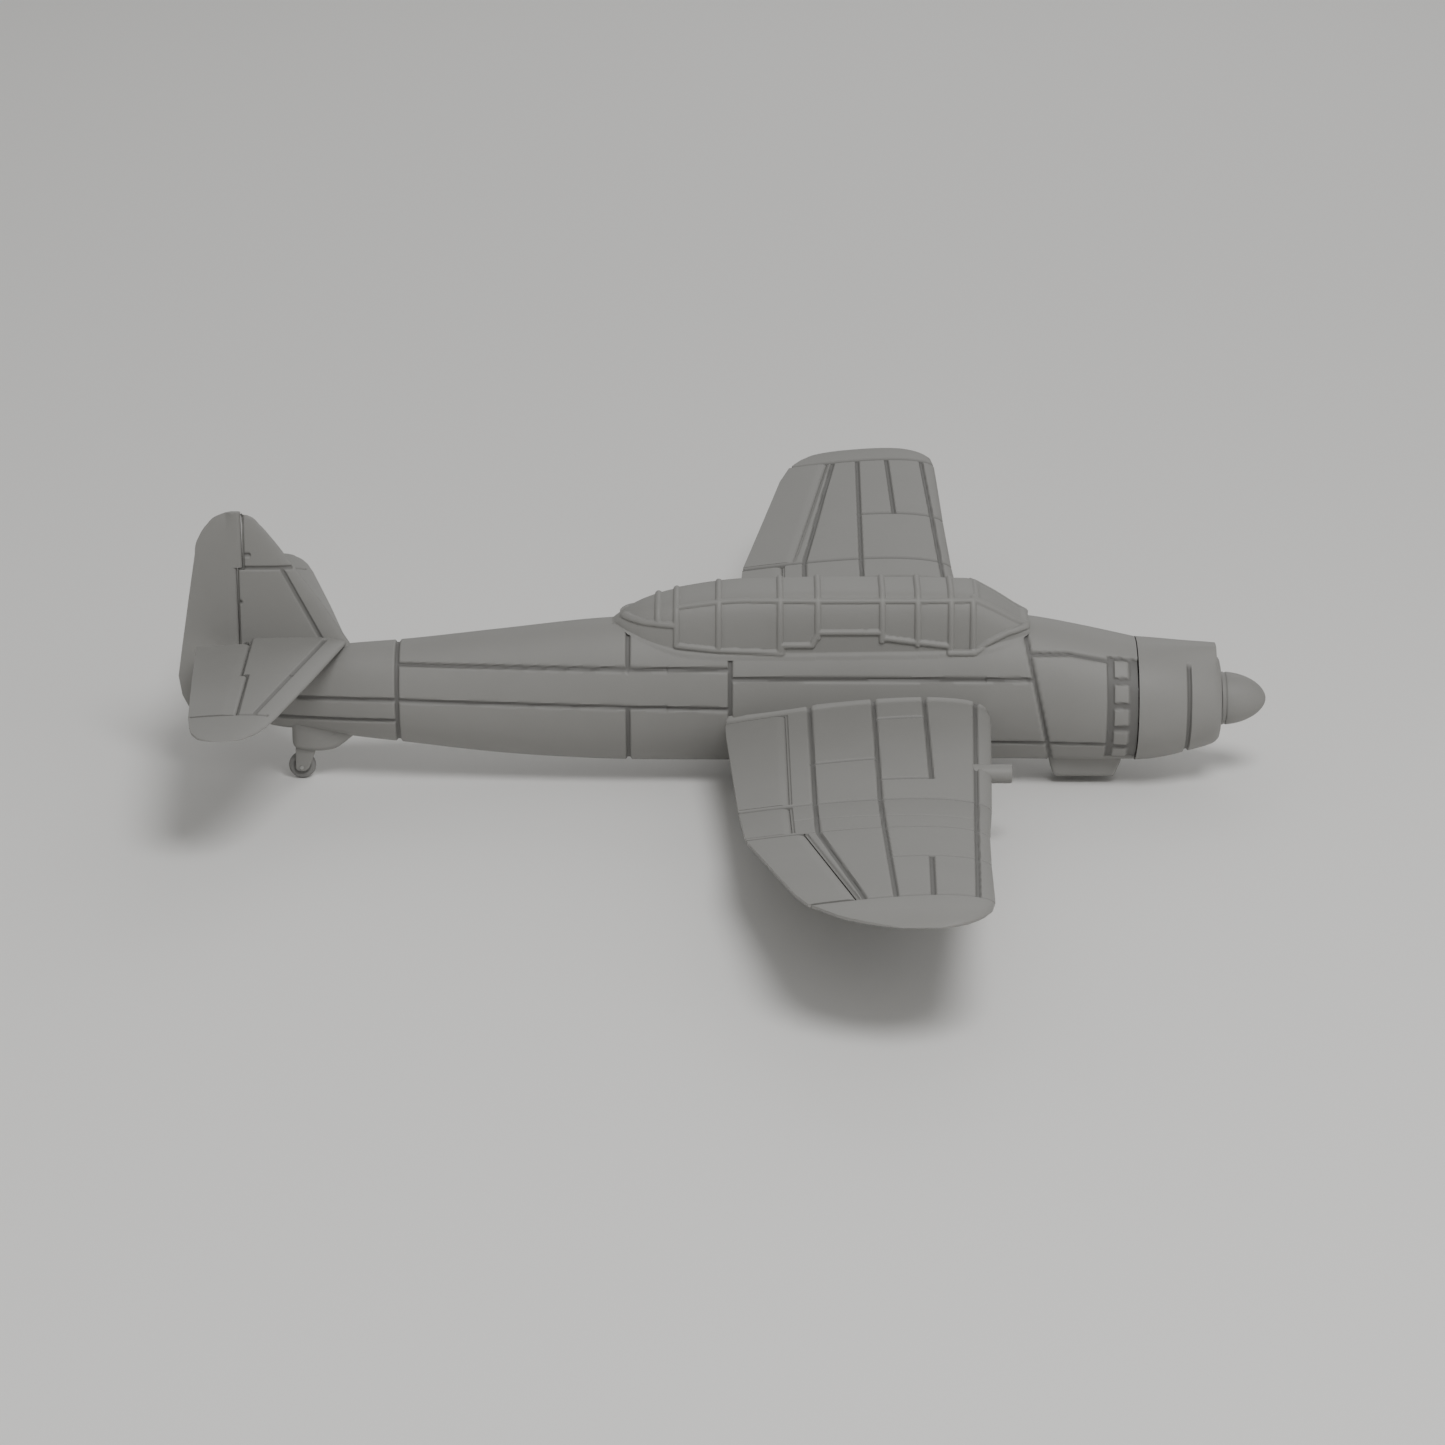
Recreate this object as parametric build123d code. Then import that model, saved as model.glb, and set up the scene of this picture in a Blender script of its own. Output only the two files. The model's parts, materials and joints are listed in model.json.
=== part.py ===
from build123d import *
import math
import os

# Small electric model of a single-engine warbird: moulded shells, pinned control surfaces, rod linkages.
# Frame: millimetres, +X nose, +Y left wing, +Z up, ground at Z = 0.

# ---- body
thrust_z = 31.1
body_half_width = 21.0
body_half_height = 27.4
shell_wall = 1.6
panel_gap = 0.3
firewall_x = 150.0
firewall_thickness = 2.0
hatch_half_width = 10.5
hatch_rear_x = -20.0
hatch_front_x = 96.0

# ---- nose
cowl_rear_x = 151.6
cowl_front_x = 182.6
cowl_rear_radius = 22.6
cowl_mid_radius = 19.4
cowl_lip_radius = 13.9
cowl_wall = 1.3
spinner_radius = 9.8
spinner_length = 16.8
spinner_tip_x = 200.0
motor_radius = 9.0
motor_can_length = 11.0
motor_base_length = 3.5
shaft_radius = 1.5
intake_half_width = 6.0
intake_top = 23.6
scoop_half_width = 8.5
scoop_bottom_z = 2.9
scoop_x_front = 144.0
scoop_x_rear = 119.5

# ---- wing
wing_half_span = 262.0
crank_y = 105.0
panel_break_y = 147.0
aileron_end_y = 239.0
wing_root_y = 12.0
root_chord_front_x = 97.8
thickness_ratio = 0.122
trailing_edge = 0.9
spar_x = 60.0
spar_radius = 2.0

# ---- control surfaces
hinge_clearance = 0.35
lip_reach = 1.8
end_clearance = 0.5
pin_radius = 0.5
pin_fit = 0.05
pin_grip = 5.0
horn_length = 8.0
horn_thickness = 1.6
rod_radius = 0.6
rod_fit = 0.05

# ---- tail
tail_half_span = 106.0
tail_z = 52.9
tail_ratio = 0.10
elevator_axis_x = -174.2
rudder_axis_x = -178.6
hinge_jog = 2.2
elevator_step_y = 42.0
elevator_end_y = 82.0
fin_base_z = 46.0
fin_top_z = 102.8
rudder_bottom_z = 24.0
rudder_step_z = 82.0

# ---- servos and gear
servo_length = 16.0
servo_width = 7.0
servo_depth = 12.0
servo_clearance = 0.3
arm_thickness = 1.4
arm_gap = 0.6
tail_wheel_x = -155.4
tail_wheel_radius = 5.0
tail_wheel_width = 3.6
tail_axle_radius = 0.75
gear_socket_y = 98.0
gear_socket_x = 72.0
gear_wire_radius = 1.0
gear_socket_depth = 8.0
gear_mouth_clearance = 0.6
gun_y = 73.4
gun_z = 28.9
gun_radius = 3.4
gun_tip_x = 102.5

os.makedirs("parts", exist_ok=True)
made = []


def save(name, shape):
    export_step(shape, f"parts/{name}.step")
    made.append(name)
    print(name, len(shape.solids()), round(sum(s.volume for s in shape.solids())))


def both(shape):
    return shape, mirror(shape, about=Plane.XZ)


def lerp(a, b, t):
    return a + (b - a) * t


def table(rows, key):
    for low, high in zip(rows, rows[1:]):
        if low[0] <= key <= high[0]:
            t = (key - low[0]) / (high[0] - low[0])
            return [lerp(p, q, t) for p, q in zip(low[1:], high[1:])]
    return list(rows[0][1:]) if key < rows[0][0] else list(rows[-1][1:])


# ---- fuselage: ellipses standing across X; shares of the largest half-width and half-height
body_rows = [
    (-176.5, 37.0, 0.15, 0.47),
    (-165.5, 36.0, 0.30, 0.56),
    (-150.0, 34.9, 0.49, 0.575),
    (-135.0, 34.5, 0.61, 0.645),
    (-119.0, 34.2, 0.70, 0.70),
    (-82.0, 34.1, 0.80, 0.855),
    (-44.5, 35.0, 0.87, 0.975),
    (0.0, 35.5, 0.90, 1.01),
    (60.0, 35.7, 0.93, 1.01),
    (113.0, 35.4, 0.97, 0.985),
    (132.0, 33.4, 1.02, 0.92),
    (151.3, 31.4, 1.07, 0.825),
]


def body_solid(grow, x_from=-200.0, x_to=160.0):
    faces = []
    for x, zc, w, b in body_rows:
        if x_from <= x <= x_to:
            half_w = max(w * body_half_width + grow, 0.6)
            half_b = max(b * body_half_height + grow, 2.0)
            faces.append(Plane(origin=(x, 0, zc), x_dir=(0, 1, 0), z_dir=(1, 0, 0)) * Ellipse(half_w, half_b))
    return loft(faces)


body_outer = body_solid(0)
body_inner = body_solid(-shell_wall, x_from=-151.0)
body_clear = body_solid(panel_gap)

# ---- wing: upright section planes, (distance out, LE x, TE x, LE z, TE z)
outer = wing_half_span - panel_break_y
wing_rows = [
    (wing_root_y, root_chord_front_x + 0.3, 0.0, 33.1, 28.4),
    (crank_y, 93.8, 5.6, 26.4, 25.7),
    (panel_break_y, 90.9, 7.9, 32.7, 32.0),
    (panel_break_y + 0.35 * outer, 89.2, 15.9, 38.8, 38.1),
    (panel_break_y + 0.69 * outer, 88.0, 23.6, 44.8, 44.1),
    (panel_break_y + 0.80 * outer, 87.5, 27.5, 46.7, 46.0),
    (panel_break_y + 0.87 * outer, 86.2, 32.8, 47.9, 47.4),
    (panel_break_y + 0.93 * outer, 82.0, 39.6, 48.9, 48.6),
    (panel_break_y + 0.975 * outer, 75.8, 49.5, 49.7, 49.5),
    (wing_half_span, 69.0, 57.0, 50.1, 50.0),
]


def wing_at(a):
    return table(wing_rows, a)


def half_thickness(share, ratio):
    s = max(share, 0.0)
    poly = 0.2969 * math.sqrt(s) - 0.126 * s - 0.3516 * s**2 + 0.2843 * s**3 - 0.1015 * s**4
    return 5 * ratio * poly


def section_points(le, te, ratio, edge):
    """Chordwise shares and half-heights from tail to nose."""
    chord = le - te
    out = []
    for i in range(13):
        share = 0.5 * (1 + math.cos(math.pi * i / 12))
        h = half_thickness(share, ratio) * chord + 0.5 * edge * share
        out.append((le - share * chord, h, share))
    return out


def wing_face(a, le, te, z_le, z_te):
    pts = section_points(le, te, thickness_ratio, min(trailing_edge, 0.1 * (le - te)))
    mid = [lerp(z_le, z_te, s) for _, _, s in pts]
    top = [(x, -a, m + h) for (x, h, _), m in zip(pts, mid)]
    low = [(x, -a, m - h) for (x, h, _), m in zip(pts, mid)]
    low[-1] = top[-1]
    upper = Spline(*top)
    lower = Spline(*low[::-1])
    return Face(Wire([upper, lower, Line(low[0], top[0])]))


def wing_solid(a_from, a_to):
    rows = [(a_from, *wing_at(a_from))] + [r for r in wing_rows if a_from < r[0] < a_to] + [(a_to, *wing_at(a_to))]
    return loft([wing_face(*r) for r in rows], ruled=True)


inner_loft = wing_solid(wing_root_y, crank_y)
outer_loft = wing_solid(crank_y, wing_half_span)


def wing_mid(a, x):
    le, te, z_le, z_te = wing_at(a)
    return Vector(x, -a, lerp(z_le, z_te, (le - x) / (le - te)))


def wing_half(a, x):
    le, te, _, _ = wing_at(a)
    share = (le - x) / (le - te)
    return half_thickness(share, thickness_ratio) * (le - te) + 0.5 * trailing_edge * share


# ---- pinned control surface: rounded nose about the hinge line, set in a hollow edge
# Local frame: z along the hinge, x aft, y to the horn's side.
class Surface:
    def __init__(self, start, end, r_start, r_end, reach, jog_from=None, holds=(0, 0)):
        self.start, self.end = Vector(*start), Vector(*end)
        self.axis = (self.end - self.start).normalized()
        self.length = (self.end - self.start).length
        rear = Vector(-1, 0, 0)
        self.aft = (rear - self.axis * rear.dot(self.axis)).normalized()
        self.plane = Plane(origin=self.start, x_dir=self.aft, z_dir=self.axis)
        self.r_start, self.r_end, self.reach, self.jog_from = r_start, r_end, reach, jog_from
        self.holds = holds

    def slab(self, front, z0, z1):
        box = Box(self.reach + front, 60, z1 - z0, align=(Align.MIN, Align.CENTER, Align.MIN))
        return self.plane * (Pos(-front, 0, z0) * box)

    def roll(self, grow, extra):
        slope = (self.r_end - self.r_start) / self.length
        low, high = self.r_start + grow - slope * extra, self.r_end + grow + slope * extra
        cone = Cone(low, high, self.length + 2 * extra, align=(Align.CENTER, Align.CENTER, Align.MIN))
        return self.plane * (Pos(0, 0, -extra) * cone)

    def drum(self, radius, forward, z0, z1):
        shape = Cylinder(radius, z1 - z0, align=(Align.CENTER, Align.CENTER, Align.MIN))
        return self.plane * (Pos(-forward, 0, z0) * shape)

    def cut(self, blank):
        end = self.length + end_clearance
        out = blank - self.slab(lip_reach, -end_clearance, end) - self.roll(hinge_clearance, end_clearance)
        if self.jog_from is not None:
            z0 = self.jog_from - end_clearance
            out = out - self.slab(lip_reach + hinge_jog, z0, end)
            out = out - self.drum(self.r_end + hinge_jog + hinge_clearance, 0, z0, end)
        for pin in self.pins():
            out = out - pin
        return out

    def make(self, blank, station=None, side=1):
        body = self.slab(0, 0, self.length) + self.roll(0, 0)
        if self.jog_from is not None:
            nose = self.drum(self.r_end, hinge_jog, self.jog_from, self.length)
            web = Box(hinge_jog, 2 * self.r_end, self.length - self.jog_from, align=(Align.MAX, Align.CENTER, Align.MIN))
            body = body + nose + self.plane * (Pos(0, 0, self.jog_from) * web)
        body = blank & body
        if station is not None:
            body = body + self.horn(station, side)
        for z, held in ((0, self.holds[0]), (self.length, self.holds[1])):
            if held:
                body = body - self.drum(pin_radius + pin_fit, 0, z - pin_grip - 0.5, z + pin_grip + 0.5)
        return body.solids().sort_by(SortBy.VOLUME)[-1]

    def horn(self, station, side):
        spots = [(0, side * horn_length, 1.6), (3.4, side * 0.8, 1.2), (8.0, side * 0.2, 0.7)]
        outline = make_hull([e for x, y, r in spots for e in (Pos(x, y) * Circle(r)).edges()])
        plate = extrude(Sketch() + outline, horn_thickness / 2, both=True)
        plate = plate - Pos(0, side * horn_length) * Cylinder(rod_radius + rod_fit, 3 * horn_thickness)
        return self.plane * (Pos(0, 0, station) * plate)

    def pins(self):
        out = []
        if self.holds[0]:
            out.append(self.drum(pin_radius, 0, -end_clearance - self.holds[0], pin_grip))
        if self.holds[1]:
            out.append(self.drum(pin_radius, 0, self.length - pin_grip, self.length + end_clearance + self.holds[1]))
        return out


# ---- linkage: arm, rod and horn make a parallelogram, so the rod never tilts
# The servo stands on the side of the arm that turn points to, and the rod runs on that side too.
class Linkage:
    def __init__(self, surface, station, span, side=1, turn=1):
        self.surface, self.station, self.span = surface, station, span
        self.side = side * turn
        origin = surface.start + surface.axis * station
        self.plane = Plane(origin=origin, x_dir=surface.aft, z_dir=surface.axis * turn)

    def put(self, x, y, z, shape):
        return self.plane * (Pos(x, y, z) * shape)

    def servo(self):
        z0 = arm_thickness / 2 + arm_gap
        case = Box(servo_length, servo_width, servo_depth, align=(Align.MAX, Align.CENTER, Align.MIN))
        case = self.put(-self.span + 5, 0, z0, case)
        return case - self.put(-self.span, 0, z0, Cylinder(1.5 + rod_fit, 8))

    def arm(self):
        eye = self.side * horn_length
        spots = [(0, 0, 2.4), (0, eye, 1.6)]
        outline = make_hull([e for x, y, r in spots for e in (Pos(x, y) * Circle(r)).edges()])
        plate = extrude(Sketch() + outline, arm_thickness / 2, both=True)
        plate = plate + Cylinder(1.5, 4.0, align=(Align.CENTER, Align.CENTER, Align.MIN))
        return self.put(-self.span, 0, 0, plate - Pos(0, eye) * Cylinder(rod_radius + rod_fit, 8))

    def rod(self):
        lift = max(arm_thickness, horn_thickness) / 2 + rod_radius + 0.2
        y = self.side * horn_length
        bar = Rot(0, 90, 0) * Cylinder(rod_radius, self.span)
        shape = self.put(-self.span / 2, y, lift, bar)
        for x in (-self.span, 0):
            pin = Cylinder(rod_radius, lift + 1.1, align=(Align.CENTER, Align.CENTER, Align.MAX))
            shape = shape + self.put(x, y, lift, pin) + self.put(x, y, lift, Sphere(rod_radius))
        return shape

    def pocket(self):
        depth = arm_thickness / 2 + arm_gap + servo_depth + servo_clearance + 1.8
        top = servo_width / 2 + servo_clearance
        edge = Align.MIN if self.side > 0 else Align.MAX
        box = Box(servo_length + 3.6, 22, depth, align=(Align.MAX, edge, Align.MIN))
        return self.put(-self.span + 8.3, -self.side * top, -1.8, box)


def wing_surface(a0, x0, a1, x1, reach, holds):
    r0, r1 = 0.97 * wing_half(a0, x0), 0.97 * wing_half(a1, x1)
    return Surface(tuple(wing_mid(a0, x0)), tuple(wing_mid(a1, x1)), r0, r1, reach, holds=holds)


rib = 1.3
side_gap = end_clearance + rib
short_hold = 0.9
inner_flap = wing_surface(22.0, 21.0, crank_y - side_gap - 0.3, 21.6, 40, (1.8, short_hold))
outer_flap = wing_surface(crank_y + side_gap + 0.3, 21.6, panel_break_y - side_gap, 22.0, 40, (short_hold, short_hold))
aileron = wing_surface(panel_break_y + side_gap, 26.4, aileron_end_y, 41.4, 40, (short_hold, pin_grip))
flap_link = Linkage(inner_flap, 40.0, 21.0)
aileron_link = Linkage(aileron, 22.0, 21.0)

# ---- tailplane and fin blanks
tail_rows = [
    (0.0, -137.6, -192.6),
    (42.0, -147.0, -190.2),
    (82.0, -156.6, -187.4),
    (92.0, -159.6, -186.0),
    (100.0, -164.0, -183.6),
    (104.4, -168.6, -180.0),
    (tail_half_span, -173.4, -176.2),
]
fin_rows = [
    (rudder_bottom_z, -152.0, -190.5),
    (28.2, -150.0, -196.7),
    (32.6, -146.0, -198.8),
    (40.0, -140.0, -199.9),
    (51.0, -135.6, -198.2),
    (70.0, -147.6, -195.1),
    (91.9, -163.2, -191.4),
    (98.0, -168.2, -187.6),
    (101.4, -172.0, -183.8),
    (fin_top_z, -176.0, -180.4),
]


def tail_face(row):
    a, le, te = row
    pts = section_points(le, te, tail_ratio, min(trailing_edge, 0.1 * (le - te)))
    upper = Spline(*[(x, -a, tail_z + h) for x, h, _ in pts])
    lower = Spline(*[(x, -a, tail_z - h) for x, h, _ in pts][::-1])
    edge = Line((te, -a, tail_z - pts[0][1]), (te, -a, tail_z + pts[0][1]))
    return Face(Wire([upper, lower, edge]))


def fin_face(row):
    z, le, te = row
    pts = section_points(le, te, tail_ratio, min(trailing_edge, 0.1 * (le - te)))
    one = Spline(*[(x, h, z) for x, h, _ in pts])
    two = Spline(*[(x, -h, z) for x, h, _ in pts][::-1])
    edge = Line((te, -pts[0][1], z), (te, pts[0][1], z))
    return Face(Wire([one, two, edge]))


tail_blank = loft([tail_face(r) for r in tail_rows], ruled=True)
fin_blank = loft([fin_face(r) for r in fin_rows], ruled=True)


def sheet_half(rows, key, x):
    le, te = table(rows, key)
    share = (le - x) / (le - te)
    return half_thickness(share, tail_ratio) * (le - te) + 0.5 * trailing_edge * share


def elevator_half(a):
    return 0.97 * sheet_half(tail_rows, a, elevator_axis_x)


def rudder_half(z):
    return 0.97 * sheet_half(fin_rows, z, rudder_axis_x)


elevator_start = 8.0
elevator = Surface(
    (elevator_axis_x, -elevator_start, tail_z),
    (elevator_axis_x, -elevator_end_y, tail_z),
    elevator_half(elevator_start),
    elevator_half(elevator_end_y),
    30,
    jog_from=elevator_step_y - elevator_start,
    holds=(0, pin_grip),
)
rudder_top_z = fin_top_z + 1
rudder = Surface(
    (rudder_axis_x, 0, rudder_bottom_z),
    (rudder_axis_x, 0, rudder_top_z),
    rudder_half(40.0),
    rudder_half(91.9),
    30,
    jog_from=rudder_step_z - rudder_bottom_z,
)
elevator_link = Linkage(elevator, 1.5, 165.0, turn=-1)
rudder_link = Linkage(rudder, 8.0, 163.0, side=-1)

# ---- nose cut and cowl profile about the thrust line
cowl_rows = [
    (cowl_rear_x, cowl_rear_radius),
    (cowl_rear_x + 9, lerp(cowl_rear_radius, cowl_mid_radius, 0.42)),
    (170.0, cowl_mid_radius),
    (177.5, 17.6),
    (181.0, 16.2),
    (cowl_front_x, cowl_lip_radius),
]


def turned(points):
    """Solid of revolution about the thrust line from (x, radius) points."""
    flat = Polyline(*[(x, 0, thrust_z + r) for x, r in points], close=True)
    return revolve(Face(Wire(flat)), Axis((0, 0, thrust_z), (1, 0, 0)), 360)


cowl_skin = cowl_rows + [(x, r - cowl_wall) for x, r in cowl_rows[::-1]]
cowl_tube = turned(cowl_skin)
cowl_core = turned([(cowl_rear_x - 1, 0)] + [(x, r - 0.5 * cowl_wall) for x, r in cowl_rows] + [(cowl_front_x, 0)])


def side_plate(points, half_width):
    """Upright plate in the X-Z plane, centred on Y = 0."""
    face = Face(Wire(Polyline(*[(x, 0, z) for x, z in points], close=True)))
    return extrude(face, half_width, dir=(0, 1, 0), both=True)


fairing = side_plate(
    [
        (cowl_rear_x, thrust_z + 18),
        (cowl_rear_x, thrust_z + intake_top),
        (180.5, thrust_z + 20.8),
        (181.0, thrust_z + 16),
        (176.0, thrust_z + 14),
    ],
    intake_half_width,
)
fairing = fillet(fairing.edges().filter_by(GeomType.LINE).filter_by(lambda e: e.center().Z > thrust_z + 21 and abs(e.center().Y) > 1), 2.6)
mouth = Pos(179.5, 0, thrust_z + 17.9) * Box(6, 7, 2.6)
cowl = cowl_tube + (fairing - cowl_core) - mouth

# ---- body shell: hatch, servo rod exits, tail slot
hatch_cut = Pos((hatch_rear_x + hatch_front_x) / 2, 0, 66) * Box(hatch_front_x - hatch_rear_x, 2 * hatch_half_width, 26)
front_zone = Pos(firewall_x - firewall_thickness / 2, 0, 32) * Box(firewall_thickness, 60, 80)
firewall = (body_inner & front_zone) - Pos(149, 0, thrust_z) * Rot(0, 90, 0) * Cylinder(3.2, 10)

pads = []
for i in range(5):
    z = thrust_z + (i - 2) * 7.6
    pads.append(Pos(145.6, 0, z) * Box(6.4, 60, 6.0))
tall_band = Pos(145.6, 0, thrust_z) * Box(9.6, 60, 39.4)
recess = tall_band & (body_solid(1) - body_solid(-0.8))
for pad in pads:
    recess = recess - pad
recess = recess - Pos(145.6, 0, thrust_z) * Box(20, 20, 80)

rod_exit_up = Pos(-135, 9.5 - 1.9, tail_z - horn_length + 0.4) * Box(62, 3.4, 4.2)
rod_exit_low = Pos(-154, 8.0 - 0.4, rudder_bottom_z + 8 + 1.9) * Box(36, 4.6, 3.4)

shell = body_outer - body_inner
shell = shell - hatch_cut - recess
shell = rudder.cut(shell)
shell = shell - rod_exit_up - rod_exit_low - tail_blank

# ---- wing
spar_low = wing_mid(wing_root_y, spar_x)
spar_high = wing_mid(crank_y, spar_x)
spar_dir = (spar_high - spar_low).normalized()
spar_in = spar_low - spar_dir * (wing_root_y / abs(spar_dir.Y) - 0.3)
spar_out = spar_low + spar_dir * (crank_y - wing_root_y - 3)
spar_length = (spar_out - spar_in).length
spar_plane = Plane(origin=spar_in, z_dir=spar_dir)
spar = spar_plane * Cylinder(spar_radius, spar_length, align=(Align.CENTER, Align.CENTER, Align.MIN))
spar = spar - Pos(0, 10, 31) * Box(200, 20, 40)

gun_length = 14.0
gun_mid = Pos(gun_tip_x - gun_length / 2, -gun_y, gun_z) * Rot(0, 90, 0)
gun = gun_mid * Cylinder(gun_radius, gun_length)
gun_bore = Pos(gun_tip_x, -gun_y, gun_z) * Rot(0, 90, 0) * Cylinder(1.9, 10)

socket_top = wing_mid(gear_socket_y, gear_socket_x)
socket_block = Pos(gear_socket_x, -gear_socket_y, socket_top.Z + 0.2) * Box(9, 7, 8.4)
socket_bore = Pos(gear_socket_x, -gear_socket_y, socket_top.Z - 4.0) * Cylinder(
    gear_wire_radius, gear_socket_depth - 1, align=(Align.CENTER, Align.CENTER, Align.MIN)
)
socket_mouth = Pos(gear_socket_x, -gear_socket_y, socket_top.Z - 4.0) * Cylinder(
    gear_wire_radius + gear_mouth_clearance, 8.0, align=(Align.CENTER, Align.CENTER, Align.MAX)
)

wing_inner = inner_flap.cut(inner_loft)
wing_inner = wing_inner - flap_link.pocket() - spar - gun - body_outer - socket_block - socket_mouth
wing_inner = wing_inner.solids().sort_by(SortBy.VOLUME)[-1]
wing_outer = aileron.cut(outer_flap.cut(outer_loft))
wing_outer = (wing_outer - aileron_link.pocket()).solids().sort_by(SortBy.VOLUME)[-1]

# ---- fin over the body, fixed tailplane through it
def upright(x, z0, z1, radius):
    return Pos(x, 0, z0) * Cylinder(radius, z1 - z0, align=(Align.CENTER, Align.CENTER, Align.MIN))


tab_levels = (57.0, 77.0)
tab_thickness = 1.6
joiner_radius = 0.9
hinge_wire = upright(rudder_axis_x, tab_levels[0] - 3, tab_levels[1] + 3, pin_radius)
joiner = Pos(elevator_axis_x, 0, tail_z) * Rot(90, 0, 0) * Cylinder(joiner_radius, 2 * elevator_start + 10)
joiner_run = Pos(elevator_axis_x, 0, tail_z) * Rot(90, 0, 0) * Cylinder(joiner_radius + pin_fit, 2 * elevator_start)
tail_whole = tail_blank + mirror(tail_blank, about=Plane.XZ)
fin = rudder.cut(fin_blank) - body_outer - tail_whole
fin = fin - Pos(-160, 0, 10) * Box(80, 60, 2 * (fin_base_z - 10))
fin = fin.solids().sort_by(SortBy.VOLUME)[-1]
rudder_piece = rudder.make(fin_blank, rudder_link.station, -1)
for level in tab_levels:
    neck = Pos(rudder_axis_x + 2.2, 0, level) * Box(4.4, 1.6, tab_thickness)
    low = level - tab_thickness / 2
    tab = neck + upright(rudder_axis_x, low, low + tab_thickness, 1.3)
    fin = fin + (tab - hinge_wire)
    rudder_piece = rudder_piece - upright(rudder_axis_x, low - 0.3, low + tab_thickness + 0.3, 2.3)
wire_run = upright(rudder_axis_x, tab_levels[0] - 3.4, tab_levels[1] + 3.4, pin_radius + pin_fit)
rudder_piece = (rudder_piece - wire_run).solids().sort_by(SortBy.VOLUME)[-1]
tail_cut = elevator.cut(tail_blank)
tail_gap = Pos(rudder_axis_x - 30 + 2.2, 0, tail_z) * Box(60, 2 * elevator_start + 1, 20)
tailplane = tail_cut + mirror(tail_cut, about=Plane.XZ) - tail_gap
tailplane = tailplane - joiner_run
elevator_right = elevator.make(tail_blank) - joiner
elevator_left = mirror(elevator.make(tail_blank, elevator_link.station), about=Plane.XZ) - joiner

# ---- canopy hatch: an arched shell that sits on the body
canopy_rows = [
    (-37.0, 4.0, 64.6),
    (-31.0, 8.5, 69.2),
    (-24.0, 12.0, 71.6),
    (-17.0, 13.6, 73.4),
    (0.0, 14.6, 75.2),
    (60.0, 14.8, 75.8),
    (84.0, 14.8, 75.2),
    (92.5, 14.6, 74.2),
    (102.5, 13.0, 69.2),
    (112.0, 10.5, 63.4),
]


def arch_face(row, inset):
    x, w, top = row
    w, top = w - inset, top - inset
    points = [(0.90 * w, 46.0), (0.97 * w, 56.0), (w, 66.0 if top > 70 else 60.0), (0.93 * w, top - 3.0), (0.62 * w, top - 0.9), (0, top)]
    if top < 70:
        points = [(0.90 * w, 46.0), (0.97 * w, 54.0), (w, top - 6.0), (0.86 * w, top - 2.2), (0.5 * w, top - 0.5), (0, top)]
    ring = [(x, -y, z) for y, z in points] + [(x, y, z) for y, z in points[-2::-1]]
    return Face(Wire([Spline(*ring), Line(ring[-1], ring[0])]))


canopy_wall = 1.4
canopy_blank = loft([arch_face(r, 0) for r in canopy_rows], ruled=True)
canopy_hollow = loft([arch_face(r, canopy_wall) for r in canopy_rows[1:-1]], ruled=True)
canopy = canopy_blank - canopy_hollow - body_clear
canopy = canopy.solids().sort_by(SortBy.VOLUME)[-1]

# ---- belly scoop, tail wheel and its fairing
scoop_outline = [
    (scoop_x_rear, 12),
    (scoop_x_rear + 2.6, scoop_bottom_z),
    (scoop_x_front, scoop_bottom_z),
    (scoop_x_front + 3.0, 13),
]
scoop = side_plate(scoop_outline, scoop_half_width)
scoop_sides = scoop.edges().filter_by(lambda e: abs(e.center().Y) > scoop_half_width - 0.5)
scoop = fillet(scoop_sides.filter_by(lambda e: scoop_bottom_z + 1 < e.center().Z < 11), 2.2)
scoop = scoop - body_outer - Pos(scoop_x_front + 1, 0, scoop_bottom_z + 3.4) * Box(20, 2 * scoop_half_width - 5, 3.4)
scoop = scoop.solids().sort_by(SortBy.VOLUME)[-1]

axle_z = tail_wheel_radius
wheel_core = Pos(tail_wheel_x, 0, axle_z) * Rot(90, 0, 0)
tail_wheel = wheel_core * Cylinder(tail_wheel_radius, tail_wheel_width)
tail_wheel = fillet(tail_wheel.edges(), 1.2)
tail_wheel = tail_wheel - wheel_core * Cylinder(tail_axle_radius + rod_fit, 10)
fork_gap = tail_wheel_width / 2 + 0.4
leg_thickness = 1.2
leg = Pos(tail_wheel_x, -(fork_gap + leg_thickness / 2), axle_z + 4) * Box(3.4, leg_thickness, 11)
fork_y = 2 * (fork_gap + leg_thickness)
strut = leg + mirror(leg, about=Plane.XZ)
strut = strut + Pos(tail_wheel_x, 0, axle_z + 9.5 - 0.8) * Box(3.4, fork_y, 4.4)
strut = strut + Pos(tail_wheel_x, 0, axle_z + 9.5) * Cylinder(1.4, 14, align=(Align.CENTER, Align.CENTER, Align.MIN))
strut = strut + wheel_core * Cylinder(tail_axle_radius, fork_y)
fork_room = Pos(tail_wheel_x, 0, axle_z) * Box(2 * tail_wheel_radius + 2.4, fork_y + 1.0, 2 * 11.4)
tail_fairing = side_plate([(-158.6, 24), (-158.0, 12.4), (-150.0, 10.6), (-143.0, 10.8), (-136.6, 18.0), (-134.0, 22)], 4.6)
tail_fairing = fillet(tail_fairing.edges().filter_by(lambda e: abs(e.center().Y) > 4 and e.center().Z < 19), 1.8)
tail_fairing = tail_fairing - body_outer - fork_room - strut
tail_fairing = tail_fairing.solids().sort_by(SortBy.VOLUME)[-1]
shell = shell - Pos(tail_wheel_x, 0, axle_z + 9.5) * Cylinder(1.4, 30, align=(Align.CENTER, Align.CENTER, Align.MIN))

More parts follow.
